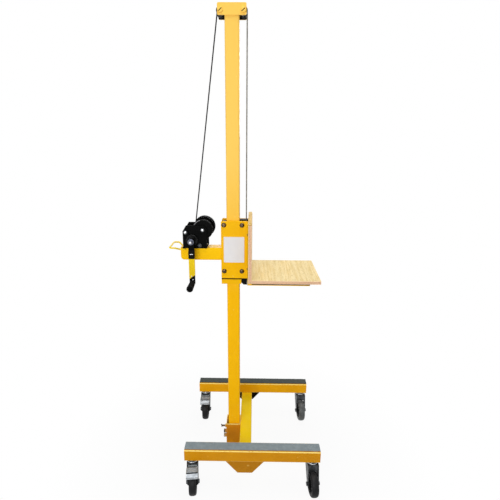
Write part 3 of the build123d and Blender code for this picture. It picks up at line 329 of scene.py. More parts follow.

# %% [markdown]
# ## Paint, metal, rubber and plastic
# Powder coat has an orange-peel skin and pale edges, rubbed and in places a painted highlight, zinc plate is a
# metal of cloudy roughness, tyres and grips are dull and catch dust. A picture of a surface would be quicker,
# but it can't be resized, so each finish is a Principled shader fed by those groups.

# %% Write a class for finishes
class Finish:
    """A new material with its Principled shader, and short ways to feed it."""

    def __init__(self, name, **plain):
        self.material = bpy.data.materials.new(name)
        self.material.use_nodes = True
        self.tree = self.material.node_tree
        self.feed(**plain)

    def feed(self, **values):
        for label, value in values.items():
            plug(self.tree, value, self.tree.nodes["Principled BSDF"].inputs[label.replace("_", " ")])

    def group(self, tree, **values):
        node = add(self.tree, "Group")
        node.node_tree = tree
        for label, value in values.items():
            node.inputs[label].default_value = value
        return node.outputs[0]

    def mixed(self, mask, *colours):
        """A colour between two; each is a socket or an (r, g, b)."""
        node = add(self.tree, "Mix", Factor=mask)
        node.data_type = "RGBA"
        for socket, colour in zip([s for s in node.inputs if s.type == "RGBA"], colours):
            plug(self.tree, (*colour, 1) if isinstance(colour, tuple) else colour, socket)
        return [s for s in node.outputs if s.type == "RGBA"][0]

    def part(self, mask, share):
        return sum_node(self.tree, "MULTIPLY", mask, share)

    def larger(self, first, second):
        return sum_node(self.tree, "MAXIMUM", first, second)

    def surface(self, colour, mask, rough, height, depth):
        self.feed(Base_Color=colour, Roughness=ranged(self.tree, mask, 0, 1, *rough),
                  Normal=add(self.tree, "Bump", Distance=depth, Height=height).outputs[0])


print("class ready:", Finish.__name__)

# %% Write the material builders
PALE_YELLOW, PAINT_DUST, RUBBER_DUST = (1.0, 0.78, 0.22), (0.62, 0.58, 0.5), (0.22, 0.21, 0.2)
PAINTED_SHEEN_FROM, PAINTED_SHEEN_TO = 0.78, 1.3
PLAIN_SHINE = 0.5


def paint(name, bright, deep, pale=PALE_YELLOW, gloss=(0.28, 0.46), peel=0.0016, dust=0.03, shine=0.2,
          sheen=(1.0, 0.8, 0.3), wear=0.55, painted_sheen_colour=None):
    """Powder coat: a cloudy colour, an orange-peel skin, pale edges of wear and painted highlight, and a little
    dust.
    """
    coat = Finish(name, Specular_IOR_Level=shine, Specular_Tint=(*sheen, 1))
    colour = coat.mixed(coat.group(UNEVEN, Size=0.07, Spread=0.24), bright, deep)
    # painted sheen: the colour grows paler towards the top, from one height to another
    if painted_sheen_colour:
        height = height_of(coat.tree, object_place(coat.tree))
        colour = coat.mixed(ranged(coat.tree, height, PAINTED_SHEEN_FROM, PAINTED_SHEEN_TO), colour, painted_sheen_colour)
    # pale edges: rubbed wear, and where the share is high, a painted highlight
    colour = coat.mixed(coat.group(EDGE_WEAR_AND_HIGHLIGHT, Size=0.006, Share=wear), colour, pale)
    film = coat.group(DUST, Size=0.03, Share=dust)
    scratch = coat.group(SCRATCHES, Size=0.012, Share=0.25)
    colour = coat.mixed(coat.part(scratch, 0.25), coat.mixed(film, colour, PAINT_DUST), pale)
    dull = coat.larger(scratch, coat.group(UNEVEN, Size=0.02, Spread=0.3))
    coat.surface(colour, coat.larger(dull, film), gloss, coat.group(SKIN, Size=peel), 0.00012)
    return coat


def plated(name, light, dark, rough=(0.26, 0.52), grain=0.004, metallic=1.0, shine=PLAIN_SHINE):
    """Plated or bare steel: cloudy tone, cloudy roughness and hair scratches."""
    metal = Finish(name, Metallic=metallic, Specular_IOR_Level=shine)
    tone = metal.group(UNEVEN, Size=0.012, Spread=0.22)
    scratch = metal.group(SCRATCHES, Size=grain, Share=0.4)
    colour = metal.mixed(metal.part(scratch, 0.3), metal.mixed(tone, light, dark), light)
    metal.surface(colour, metal.larger(tone, scratch), rough, metal.group(SKIN, Size=grain * 0.3), 0.00006)
    return metal


def moulded(name, colour, faded, rough, skin=0.0009, depth=0.00012, dust=0.0, shine=PLAIN_SHINE):
    """Moulded rubber or plastic: an eggshell skin, faded patches and dust."""
    body = Finish(name, Specular_IOR_Level=shine)
    tone = body.group(UNEVEN, Size=0.02, Spread=0.25)
    film = body.group(DUST, Size=0.012, Share=dust)
    edges = body.group(EDGE_WEAR_AND_HIGHLIGHT, Size=0.005, Share=0.6)
    shade = body.mixed(film, body.mixed(edges, body.mixed(tone, colour, faded), faded), RUBBER_DUST)
    body.surface(shade, body.larger(tone, film), rough, body.group(SKIN, Size=skin), depth)
    return body


print("material builders ready")

# %% [markdown]
# ## Plywood
# A plywood face is peeled off the log, so its rings show as long arches, with streaks and pores along the grain:
# a Wave texture and noise, drawn out along one axis. The cut edge shows pale and dark plies by turns. They could
# be materials of their own, but one attribute, "ply", is enough.

# %% Write the plywood builder
RINGS = dict(Scale=20.0, Distortion=9.0, Detail=3.0, Detail_Scale=1.2)


def veneer(name, along, across):
    wood = Finish(name, Specular_IOR_Level=0.1)
    tree = wood.tree
    wave = add(tree, "TexWave", Vector=mapped(tree, along), **RINGS)
    wave.bands_direction = across
    rings = ranged(tree, wave.outputs["Fac"], 0.5, 1.0)
    tone = ranged(tree, cloud(tree, 0.09, 3.0, along), 0.36, 0.64)
    streak = ranged(tree, cloud(tree, 0.009, 4.0, along), 0.42, 0.66)
    pores = ranged(tree, cloud(tree, 0.0017, 2.0, along), 0.54, 0.68)
    specks = ranged(tree, cloud(tree, 0.0045, 4.0), 0.62, 0.68)
    face = wood.mixed(tone, (0.88, 0.69, 0.34), (0.77, 0.64, 0.33))
    for mask, share, colour in ((rings, 0.4, (0.7, 0.5, 0.2)), (streak, 0.35, (0.68, 0.49, 0.19)),
                                (pores, 0.45, (0.44, 0.32, 0.13)), (specks, 0.6, (0.38, 0.27, 0.11))):
        face = wood.mixed(wood.part(mask, share), face, colour)
    ply = mark_on(tree, "ply")
    fibres = ranged(tree, cloud(tree, 0.0016, 3.0, (1, 1, 0.4)), 0.35, 0.65)
    pale_ply = wood.mixed(fibres, (0.95, 0.7, 0.46), (0.84, 0.57, 0.36))
    dark_ply = wood.mixed(fibres, (0.74, 0.43, 0.28), (0.54, 0.28, 0.17))
    cut = wood.mixed(ranged(tree, ply, 0.6, 0.7), pale_ply, dark_ply)
    height = sum_node(tree, "ADD", streak, wood.group(SKIN, Size=0.0012))
    wood.surface(wood.mixed(ranged(tree, ply, 0.1, 0.2), face, cut), wood.larger(streak, pores), (0.5, 0.72),
                 height, 0.0002)
    return wood


print("plywood builder ready")

# %% [markdown]
# ## The palette
# The lift's yellows are one paint, given as lit and shaded copies: the front leg, socket, gussets and the
# back plate's lip are darker, as painted shade; the rear leg, cross tube and winch arm are lighter, as painted
# light; the handle is paler, as a painted highlight; and the mast grows paler towards its top, as a painted
# sheen. One material with a colour per object would be shorter, but wear and shine differ too.

# %% Make the finishes
# painted sheen: the mast grows paler towards its top
mast_paint = paint("mast_yellow_paint", (1.0, 0.54, 0.003), (0.97, 0.5, 0.002), wear=0.15,
                   painted_sheen_colour=(0.95, 0.59, 0.11))
carriage_paint = paint("carriage_yellow_paint", (0.95, 0.52, 0.003), (0.9, 0.47, 0.002), wear=0.3)
# painted light: the winch arm is a little lighter than the carriage
arm_paint = paint("winch_arm_yellow_paint", (1.0, 0.59, 0.002), (0.97, 0.54, 0.002), wear=0.25)
# painted shade and light: the front leg is darker and the rear leg lighter, for one yellow
leg_paint = paint("front_leg_yellow_paint", (0.68, 0.29, 0.002), (0.6, 0.24, 0.0015), wear=0.95)
rear_leg_paint = paint("rear_leg_yellow_paint", (0.92, 0.44, 0.003), (0.84, 0.38, 0.002), wear=0.95)
# painted light: the cross tube is a lighter, lemon yellow
cross_paint = paint("cross_tube_paint", (1.0, 0.73, 0.002), (0.98, 0.67, 0.002), shine=0.04)
# painted shade: the socket and the gussets are a deeper amber
socket_paint = paint("socket_yellow_paint", (0.78, 0.3, 0.002), (0.7, 0.25, 0.0015), wear=0.9)
gusset_paint = paint("gusset_yellow_paint", (0.5, 0.2, 0.003), (0.44, 0.17, 0.002), wear=0.7)
# painted shade: the back plate's lip is a darker, golden yellow
lip_paint = paint("back_plate_yellow_paint", (0.58, 0.34, 0.006), (0.5, 0.29, 0.004), shine=0.03, wear=0.1)
# painted highlight: the handle is a paler yellow
rod_paint = paint("handle_yellow_paint", (0.95, 0.72, 0.02), (0.88, 0.62, 0.01))
# painted shade: near black, for inner faces and slot floors that lie in shade
shade_black = paint("painted_shade_black", (0.008, 0.006, 0.005), (0.005, 0.004, 0.003), (0.04, 0.03, 0.02), shine=0.02,
               wear=0.1)
BLACK, GREY_EDGE = ((0.0016, 0.0016, 0.0015), (0.003, 0.003, 0.003)), (0.03, 0.03, 0.032)
ENAMEL = dict(sheen=(1, 1, 1), peel=0.0011, dust=0.0)
black_paint = paint("winch_black_paint", *BLACK, GREY_EDGE, (0.2, 0.36), shine=0.025, wear=0.1, **ENAMEL)
brake_black = paint("brake_black_paint", *BLACK, GREY_EDGE, (0.12, 0.24), shine=0.15, **ENAMEL)
# painted highlight: the pale grey that the drum rim's marked arc shows
rim_black = paint("drum_rim_paint", *BLACK, (0.22, 0.22, 0.23), (0.14, 0.3), shine=0.1, wear=1.0, **ENAMEL)
zinc_plate = plated("zinc_plate", (0.66, 0.67, 0.69), (0.42, 0.43, 0.46))
pedal_zinc = plated("pedal_zinc", (0.34, 0.37, 0.375), (0.19, 0.21, 0.215), (0.45, 0.7), metallic=0.4)
rib_zinc = plated("pedal_rib_zinc", (0.47, 0.5, 0.53), (0.32, 0.345, 0.37), (0.4, 0.6), metallic=0.4)
fork_zinc = plated("castor_fork_zinc", (0.1, 0.105, 0.11), (0.03, 0.032, 0.034), (0.3, 0.5))
eye_steel = plated("crank_eye_steel", (0.13, 0.14, 0.18), (0.045, 0.05, 0.07), (0.22, 0.4))
dark_steel = plated("dark_bolt_steel", (0.15, 0.1, 0.055), (0.05, 0.034, 0.024), (0.14, 0.28))
rope_steel = plated("rope_wire_steel", (0.3, 0.285, 0.25), (0.12, 0.112, 0.1), (0.3, 0.5), grain=0.002)
rope_dark = plated("rope_greased_steel", (0.018, 0.018, 0.018), (0.006, 0.006, 0.006), (0.4, 0.6),
                   grain=0.002, metallic=0.0, shine=0.08)
tyre_rubber = moulded("tyre_rubber", (0.006, 0.006, 0.007), (0.012, 0.012, 0.013), (0.4, 0.6), dust=0.1,
                      shine=0.14)
# painted light: a lighter grey tyre rubber, with dust, for the rear right castor
lit_grey_tyre = moulded("dusty_lit_tyre_rubber", (0.05, 0.055, 0.056), (0.09, 0.098, 0.1), (0.35, 0.55), dust=0.2)
black_nylon = moulded("black_nylon", (0.003, 0.003, 0.003), (0.006, 0.006, 0.006), (0.34, 0.55), shine=0.03)
black_grip = moulded("black_grip", (0.003, 0.003, 0.003), (0.007, 0.007, 0.007), (0.35, 0.6), shine=0.05)
ROUGH = dict(rough=(0.75, 0.95), skin=0.0012, depth=0.0006, shine=0.2)
# painted shade: the rear strip is a darker grey than the front one, for the same grip tape
front_strip = moulded("front_grip_strip", (0.2, 0.24, 0.26), (0.28, 0.33, 0.35), **ROUGH)
rear_strip = moulded("rear_grip_strip", (0.06, 0.07, 0.065), (0.085, 0.095, 0.085), **ROUGH)
shelf_wood = veneer("shelf_plywood", (1, 0.1, 1), "X")
board_wood = veneer("back_board_plywood", (1, 1, 0.1), "Y")
print("finishes", [m.name for m in bpy.data.materials])

# %% [markdown]
# ## Finishes on the CAD nodes
# The record names a material slot for every node, so most nodes get their finish from that list. Nodes of
# another batch, or more worn than their slot, are named one by one.

# %% Put a finish on every CAD node
SLOT_FINISH = dict(
    yellow_paint=carriage_paint, zinc_steel=zinc_plate, black_paint=black_paint, dark_bolt=dark_steel,
    wire_rope=rope_steel, plywood=shelf_wood, tyre_rubber=tyre_rubber, grip_strip=front_strip,
    black_grip=black_grip, nylon=black_nylon)
OWN_FINISH = {
    mast_paint: "mast_tube front_cap_plate rear_cap_plate sheave_axles", leg_paint: "front_leg",
    rear_leg_paint: "rear_leg", cross_paint: "cross_tube", socket_paint: "mast_socket",
    gusset_paint: "front_gusset rear_gusset", rope_dark: "left_rope_run drum_rope", board_wood: "back_board",
    fork_zinc: "front_left_fork front_right_fork rear_left_fork rear_right_fork winch_frame_bolts",
    pedal_zinc: "front_left_brake_pedal rear_left_brake_pedal", rod_paint: "pull_handle",
    eye_steel: "pinion_shaft", lip_paint: "carriage_back_plate", dark_steel: "board_screws",
    arm_paint: "winch_arm", brake_black: "brake_discs"}


def set_finish(thing, finish):
    thing.data.materials.clear()
    thing.data.materials.append(finish.material)


NODE_SLOT = {part["node"]: part["material_slot"] for part in frame["record"]["subparts"]}
FINISH_OF = {node: SLOT_FINISH[slot] for node, slot in NODE_SLOT.items()}
for finish, nodes in OWN_FINISH.items():
    FINISH_OF.update(dict.fromkeys(nodes.split(), finish))
for node, finish in FINISH_OF.items():
    set_finish(frame["nodes"][node], finish)
print("nodes finished", len(FINISH_OF))

# %% [markdown]
# ## A bench for the pieces
# Every piece goes through the same moves: it is made, some of its faces or edges are picked, an operator or a
# modifier works on them, and it is given its finish and tied to its body. By hand these are menu calls. As small
# functions they leave each later cell with only what is special about its piece.

# %% Helpers for picking and applying
from contextlib import contextmanager

MM, SHARP = 0.001, 40
mast_low, mast_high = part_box("mast_tube")
MAST_AXIS = Vector(((mast_low.x + mast_high.x) / 2, (mast_low.y + mast_high.y) / 2, 0))


def at(x, y, z):
    """A place given in millimetres about the mast's axis, in metres."""
    return MAST_AXIS + Vector((x, y, z)) * MM


def take(piece):
    leave_nothing_selected()
    piece.select_set(True)
    bpy.context.view_layer.objects.active = piece


@contextmanager
def edit_mode(piece, faces=None, edges=None):
    """Edit mode with the faces or edges selected that a rule accepts; without a rule, everything."""
    take(piece)
    mesh = piece.data
    rule, parts = (edges, mesh.edges) if edges else (faces, mesh.polygons)
    bpy.context.tool_settings.mesh_select_mode = (False, bool(edges), not edges)
    chosen = [part.index for part in parts if rule is None or rule(part)]
    for group in (mesh.vertices, mesh.edges, mesh.polygons):
        group.foreach_set("select", [False] * len(group))
    for index in chosen:
        parts[index].select = True
    bpy.ops.object.mode_set(mode="EDIT")
    yield
    bpy.ops.object.mode_set(mode="OBJECT")


def apply_modifier(piece, kind, **settings):
    take(piece)
    modifier = piece.modifiers.new(kind.lower(), kind)
    for label, value in settings.items():
        setattr(modifier, label, value)
    bpy.ops.object.modifier_apply(modifier=modifier.name)


def break_edges(piece, width, **more):
    """A narrow bevel, in mm, along the sharp edges."""
    apply_modifier(piece, "BEVEL", width=width * MM, segments=3, limit_method="ANGLE",
                   angle_limit=radians(SHARP), **more)


def apply_place(piece):
    take(piece)
    bpy.ops.object.transform_apply(location=True, rotation=True, scale=True)
    return piece


def block(low, high):
    """A cube stretched between two corners."""
    piece = shape(bpy.ops.mesh.primitive_cube_add, size=1, location=(low + high) / 2)
    piece.scale = high - low
    return apply_place(piece)


def bisect_all(piece, normal, places):
    """Cuts through the whole piece at several places."""
    with edit_mode(piece):
        for place in places:
            bpy.ops.mesh.select_all(action="SELECT")
            bpy.ops.mesh.bisect(plane_co=place, plane_no=normal)


print("mast axis in metres", tuple(round(c, 4) for c in MAST_AXIS))

# %% Helpers for copying, marking and settling
RIPPLED = dict(angle=60, even=False)


def copy_of(pattern):
    """A copy with its own mesh."""
    return new_object(pattern.name, pattern.data.copy())


def discard(*patterns):
    for pattern in patterns:
        bpy.data.objects.remove(pattern)


def runs_along(mesh, edge, axis):
    first, second = (mesh.vertices[i].co for i in edge.vertices)
    return abs((second - first).normalized()[axis]) > 0.99


def mark_faces(piece, label, rule):
    """A number on every face, for the finish to read."""
    mesh = piece.data
    attribute = mesh.attributes.get(label) or mesh.attributes.new(label, "FLOAT", "FACE")
    attribute.data.foreach_set("value", [float(rule(face)) for face in mesh.polygons])


def repaint(piece, finish, rule):
    """A second finish on the faces that a rule accepts."""
    piece.data.materials.append(finish.material)
    for face in piece.data.polygons:
        face.material_index = int(rule(face))


def settle(piece, name, body, finish, slot, *nodes, angle=SHARP, even=True):
    """Names and shades a finished piece, ties it to its body and hides the nodes it stands for; slot is not
    used.
    """
    apply_place(piece)
    bpy.ops.object.shade_smooth_by_angle(angle=radians(angle))
    if even:
        apply_modifier(piece, "WEIGHTED_NORMAL", keep_sharp=True)
    piece.name = piece.data.name = name
    set_finish(piece, finish)
    if nodes:
        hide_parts(*nodes)
    if body:
        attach(piece, body)
    return piece


print("bench ready")

# %% [markdown]
# ## Square tubes
# Legs, cross tube and mast are rolled square tube with round corners. A profile could be swept, but a cube
# stretched to each tube's box and bevelled follows the frame by itself. The rounding is marked as an edge, which
# the paint shows paler: rubbed wear, and on the legs a painted highlight. The mast is open, with a wall, and the
# others have a sunk cap.

# %% Model the tubes
ROLL_R, WALL = 4.5 * MM, 3.2 * MM
CAP_RIM, CAP_SLOPE, CAP_SUNK = 1.5 * MM, 1.0 * MM, -0.8 * MM


def square_tube(node, axis, is_open):
    def is_end(face):
        return abs(face.normal[axis]) > 0.9

    tube = block(*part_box(node))
    if is_open:
        with edit_mode(tube, faces=is_end):
            bpy.ops.mesh.delete(type="FACE")
    with edit_mode(tube, edges=lambda e: runs_along(tube.data, e, axis)):
        bpy.ops.mesh.bevel(offset=ROLL_R, segments=5, offset_type="OFFSET", clamp_overlap=False)
    if is_open:
        apply_modifier(tube, "SOLIDIFY", thickness=WALL, offset=-1.0)
    else:
        with edit_mode(tube, faces=is_end):
            bpy.ops.mesh.inset(thickness=CAP_RIM, depth=0)
            bpy.ops.mesh.inset(thickness=CAP_SLOPE, depth=CAP_SUNK)
    mark_faces(tube, "edge", lambda f: 0.2 < max(abs(c) for c in f.normal) < 0.985)
    return settle(tube, node + "_rolled", "base", FINISH_OF[node], "yellow_paint", node)


for node, axis in (("front_leg", 0), ("rear_leg", 0), ("cross_tube", 1), ("mast_tube", 2)):
    tube = square_tube(node, axis, node == "mast_tube")
    print(tube.name, len(tube.data.polygons), "faces")

# %% [markdown]
# ## Plates with broken edges
# Cut plate never has a knife edge, and the paint draws back from it. Modelling the plates anew would be cleaner,
# but a copy keeps every hole and bend of the frame. Its loose triangles are merged into whole faces, a narrow
# bevel is applied, and the new faces are marked as edges, for the wear and, on the socket and gussets, a painted
# highlight.

# %% Soften the plates, the winch and the castors
SOFT_WIDTHS = dict(
    mast_socket=0.9, front_gusset=0.9, rear_gusset=0.9, front_cap_plate=0.8, rear_cap_plate=0.8,
    carriage_front_plate=0.9, carriage_rear_plate=0.6, carriage_back_plate=0.3, lower_guide_band=0.7,
    winch_arm=0.8, front_shelf_arm=0.9, rear_shelf_arm=0.9, winch_frame=0.6, gear_cover=0.5, winch_drum=0.6,
    pawl=0.5, crank_arm=0.8, brake_discs=0.5, pinion_shaft=0.4, guide_pads=0.8, left_sheave=0.4,
    right_sheave=0.4, castor_stems=0.5, clamp_screw=0.6, socket_bolts=0.4, winch_mount_bolts=0.4,
    rope_anchor=0.4, winch_frame_bolts=0.4, front_left_brake_pedal=0.5, rear_left_brake_pedal=0.5,
    front_left_fork=0.5, front_right_fork=0.5, rear_left_fork=0.5, rear_right_fork=0.5)
MERGE, FLAT_ENOUGH = 2e-5, radians(0.3)


def softened(node, width):
    piece = copy_of(frame["nodes"][node])
    with edit_mode(piece):
        bpy.ops.mesh.remove_doubles(threshold=MERGE)
        bpy.ops.mesh.customdata_custom_splitnormals_clear()
        bpy.ops.mesh.dissolve_limited(angle_limit=FLAT_ENOUGH)
    set_finish(piece, FINISH_OF[node])
    # a second slot with the same finish tells the bevel's faces from the rest
    repaint(piece, FINISH_OF[node], lambda f: False)
    break_edges(piece, width, use_clamp_overlap=False, material=1)
    mark_faces(piece, "edge", lambda f: f.material_index == 1)
    for face in piece.data.polygons:
        face.material_index = 0
    body = body_of(frame["nodes"][node])[0]
    return settle(piece, node + "_soft", body, FINISH_OF[node], NODE_SLOT[node], node)


soft = {node: softened(node, width) for node, width in SOFT_WIDTHS.items()}
print("softened", {node: len(piece.data.polygons) for node, piece in soft.items()})

# %% [markdown]
# ## Second colours on the plates
# The rear gusset and the rear cap are near black on their inner faces, as painted shade, the upper guide pads
# are sprayed over in front, and the socket's rim band is marked to show paler, as a painted highlight. A mask in
# the paint would do, but a second material on the faces is plainer, after a cut with Bisect where no edge is
# there yet.

# %% Repaint some faces
RIM_BAND, UPPER_PADS_Z = 4.5 * MM, 1.0
# painted shade: the inner faces of the rear gusset and the rear cap plate are near black
for node in ("rear_gusset", "rear_cap_plate"):
    repaint(soft[node], shade_black, lambda f: f.normal.y < -0.9)
repaint(soft["guide_pads"], carriage_paint, lambda f: f.center.y < MAST_AXIS.y and f.center.z > UPPER_PADS_Z)
# painted highlight: a band at the socket's top is marked as edge, so it shows paler
socket = soft["mast_socket"]
band_z = max(v.co.z for v in socket.data.vertices) - RIM_BAND
bisect_all(socket, (0, 0, 1), [(0, 0, band_z)])
edge_marked = [mark.value > 0.5 for mark in socket.data.attributes["edge"].data]
mark_faces(socket, "edge", lambda f: edge_marked[f.index] or f.center.z > band_z)
print("worn faces of the socket", sum(mark.value > 0.5 for mark in socket.data.attributes["edge"].data))

# %% [markdown]
# ## Plywood boards
# Shelf and back board are half-inch plywood: five plies, of which the dark ones wear back at the cut edges.
# Five thin blocks would leave seams, so one block is bisected into plies, and the second and fourth are set back
# with an inset. A number on each face tells the finish which ply it is.

# %% Model the boards
PLIES = 5
PLY_RIM, PLY_SET_BACK, ARRIS = 0.15 * MM, -0.5 * MM, 0.6 * MM
PALE_CUT, DARK_CUT = 0.4, 1.0


def plywood_board(node, axis):
    low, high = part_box(node)
    board = block(low, high)
    across = Vector([float(i == axis) for i in range(3)])
    step = (high[axis] - low[axis]) / PLIES
    bisect_all(board, across, [low + across * step * ply for ply in range(1, PLIES)])

    def is_inner_ply(face):
        return int((face.center[axis] - low[axis]) / step) % 2 == 1

    def is_side(face):
        return abs(face.normal[axis]) < 0.5 or low[axis] + 1e-5 < face.center[axis] < high[axis] - 1e-5

    def is_on_top(edge):
        return all(abs(board.data.vertices[i].co[axis] - high[axis]) < 1e-6 for i in edge.vertices)

    with edit_mode(board, faces=lambda f: is_side(f) and is_inner_ply(f)):
        bpy.ops.mesh.inset(thickness=PLY_RIM, depth=PLY_SET_BACK)
    with edit_mode(board, edges=is_on_top):
        bpy.ops.mesh.bevel(offset=ARRIS, segments=2)
    mark_faces(board, "ply", lambda f: (PALE_CUT, DARK_CUT)[is_inner_ply(f)] if is_side(f) else 0.0)
    return settle(board, node + "_plies", "carriage", FINISH_OF[node], "plywood", node)


for board in (plywood_board("shelf_board", 2), plywood_board("back_board", 0)):
    print(board.name, len(board.data.polygons), "faces")

# %% [markdown]
# ## Grip strips
# The strips on the legs are grit stuck on with resin. Bump alone would leave a flat outline, so each strip is a
# block cut into cells and pushed in by a Displace modifier. It only moves inwards, so it stays within the frame.

# %% Model the strips
STRIP_WIDTH, GRIT_SIZE, GRIT_DEPTH = 38.1 * MM, 4 * MM, 1.6 * MM
CUTS = (200, 15)
grit = bpy.data.textures.new("grit", "CLOUDS")
grit.noise_scale = GRIT_SIZE
grit.noise_depth = 3


def gritty_strip(side, finish, *nodes):
    leg_low, leg_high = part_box(side + "_leg")
    middle = (leg_low.y + leg_high.y) / 2
    low, high = (corner.copy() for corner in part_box("grip_strips"))
    low.y, high.y = middle - STRIP_WIDTH / 2, middle + STRIP_WIDTH / 2
    strip = block(low, high)
    for axis, cuts in enumerate(CUTS):
        with edit_mode(strip, edges=lambda e: runs_along(strip.data, e, axis)):
            bpy.ops.mesh.subdivide(number_cuts=cuts)
    apply_modifier(strip, "DISPLACE", texture=grit, strength=GRIT_DEPTH, mid_level=1.0, texture_coords="GLOBAL")
    return settle(strip, side + "_strip_grit", "base", finish, "grip_strip", *nodes, **RIPPLED)


for strip in (gritty_strip("front", front_strip, "grip_strips"), gritty_strip("rear", rear_strip)):
    print(strip.name, len(strip.data.polygons), "faces")

# %% [markdown]
# ## Wire rope
# The rope is six strands laid round each other. Bump on a smooth tube would not show the scalloped outline, so
# the strands are real: a small circle is copied round with Spin, twisted along X by a Screw modifier, and laid
# along a line of points by a Curve modifier.

# %% Make rope along a line
TURN = 2 * pi
ROPE_R, LAY = 2.4 * MM, 30 * MM
STRANDS, STRAND_SIDES, STEPS_PER_LAY = 6, 8, 12
STRAND_R = ROPE_R / 3


@contextmanager
def edit_points(piece):
    """Edit mode with every vertex selected."""
    take(piece)
    bpy.ops.object.mode_set(mode="EDIT")
    bpy.ops.mesh.select_mode(type="VERT")
    bpy.ops.mesh.select_all(action="SELECT")
    yield
    bpy.ops.object.mode_set(mode="OBJECT")


def stranded(length):
    """A straight rope along X from the origin."""
    rope = shape(bpy.ops.mesh.primitive_circle_add, vertices=STRAND_SIDES, radius=STRAND_R,
                 rotation=(0, TURN / 4, 0), location=(0, ROPE_R - STRAND_R, 0))
    apply_place(rope)
    with edit_points(rope):
        bpy.ops.mesh.spin(steps=STRANDS - 1, angle=TURN * (STRANDS - 1) / STRANDS, dupli=True,
                          center=(0, 0, 0), axis=(1, 0, 0))
    lays = max(1, round(length / LAY))
    apply_modifier(rope, "SCREW", axis="X", angle=TURN, screw_offset=length / lays, iterations=lays,
                   steps=STEPS_PER_LAY, render_steps=STEPS_PER_LAY)
    with edit_mode(rope):
        bpy.ops.mesh.fill_holes(sides=STRAND_SIDES)
        bpy.ops.mesh.select_all(action="SELECT")
        bpy.ops.mesh.normals_make_consistent(inside=False)
    return rope


def laid(points):
    """Rope along a line of points."""
    rope = stranded(sum((b - a).length for a, b in zip(points, points[1:])))
    line = bpy.data.curves.new("rope_line", "CURVE")
    line.dimensions = "3D"
    spline = line.splines.new("POLY")
    spline.points.add(len(points) - 1)
    for knot, place in zip(spline.points, points):
        knot.co = (*place, 1)
    guide = new_object("rope_line", line)
    apply_modifier(rope, "CURVE", object=guide, deform_axis="POS_X")
    discard(guide)
    return rope


def settle_rope(rope, name, body, finish, *nodes):
    return settle(rope, name, body, finish, "wire_rope", *nodes, **RIPPLED)


print("strand radius in mm", round(STRAND_R / MM, 2))

# %% [markdown]
# ## The rope's way
# From the drum the rope goes up to the left sheave, over to the right one and down to an eye on the carriage.
# The two straight runs stretch between mast and carriage, so they are blended. One blend follows a smooth ramp,
# which would bend the rope, so each run is cut into lengths, each with the part of a ramp that keeps the whole
# straight. Only the ends are held a little, so that a leaning rope turns onto the sheave and the drum.

# %% Lay the runs, the turn over the top and the eye
LEAVE_ANGLE = 172.73
SHEAVE_X, SHEAVE_Z, PITCH_R = 39.8, 1807.6, 12.0
DRUM_X, DRUM_Z, WOUND_R = -118.5, 1048.5, 30.0
FIRST_TURN_Y, LAST_TURN, TURN_STEP = -22.0, 8.5, 5.25
RUN_END_Z, EYE_Z, EYE_R = 1072, 1046.3, 8.0
TOP_POINTS, EYE_POINTS = 16, 32
SPLITS = (0, 0.02, 0.05, 0.12, 0.3, 0.5, 0.7, 0.88, 0.94, 0.96, 1)
TOP_FOLLOW, LOW_FOLLOW = 0.01, 0.98
slope = (LOW_FOLLOW - TOP_FOLLOW) / (SPLITS[-2] - SPLITS[1])
FOLLOWS = [0] + [TOP_FOLLOW + (share - SPLITS[1]) * slope for share in SPLITS[1:-1]] + [1]


def round_sheave(side, angle):
    a = radians(angle)
    return at(side * SHEAVE_X + PITCH_R * cos(a), 0, SHEAVE_Z + PITCH_R * sin(a))


def round_drum(turn, radius):
    a = radians(LEAVE_ANGLE) + TURN * turn
    along = FIRST_TURN_Y + TURN_STEP * min(max(turn, 0.0), LAST_TURN)
    return at(DRUM_X + radius * cos(a), along, DRUM_Z + radius * sin(a))


def smooth_part(share):
    """Where the blend's smooth ramp reaches a share."""
    return 0.5 - sin(asin(1 - 2 * share) / 3)


def stretching_run(side, finish, high, low):
    whole, line = laid([low, high]), low - high
    for index, (a, b) in enumerate(zip(SPLITS, SPLITS[1:])):
        part = copy_of(whole)

        def is_elsewhere(face):
            share = (face.center - high).dot(line) / line.length_squared
            return not a <= min(max(share, 0), 0.9999) < b

        with edit_mode(part, faces=is_elsewhere):
            bpy.ops.mesh.delete(type="FACE")
        nodes = [side + "_rope_run"] if index == 0 else []
        settle_rope(part, f"{side}_rope_strands_{index}", None, finish, *nodes)
        first, last = smooth_part(FOLLOWS[index]), smooth_part(FOLLOWS[index + 1])
        ramp = line * (b - a) / (last - first)
        start = high + line * a - ramp * first
        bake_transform(part, "base", "carriage", start, start + ramp)
    discard(whole)


left_low, left_high = round_drum(0, WOUND_R), round_sheave(-1, LEAVE_ANGLE)
stretching_run("left", rope_dark, left_high, left_low)
stretching_run("right", rope_steel, round_sheave(1, 0), at(SHEAVE_X + PITCH_R, 0, RUN_END_Z))
over = [round_sheave(-1, LEAVE_ANGLE - (LEAVE_ANGLE - 90) * i / TOP_POINTS) for i in range(TOP_POINTS + 1)]
over += [round_sheave(1, 90 - 90 * i / TOP_POINTS) for i in range(TOP_POINTS + 1)]
settle_rope(laid(over), "top_rope_strands", "base", rope_dark, "rope_over_top")
angles = [TURN * i / EYE_POINTS for i in range(EYE_POINTS + 1)]
ring = [at(SHEAVE_X + PITCH_R, EYE_R * sin(a), EYE_Z + EYE_R * cos(a)) for a in angles]
settle_rope(laid(ring), "rope_eye_strands", "carriage", rope_steel, "rope_eye")
print("left run in mm", round((left_high - left_low).length / MM, 1))

# %% [markdown]
# ## The winding
# The outer layer on the drum is eight and a half turns. Rings side by side would be simpler, but a real winding
# climbs, so it is one rope along a helix, and a quarter turn at each end dips under the layer.

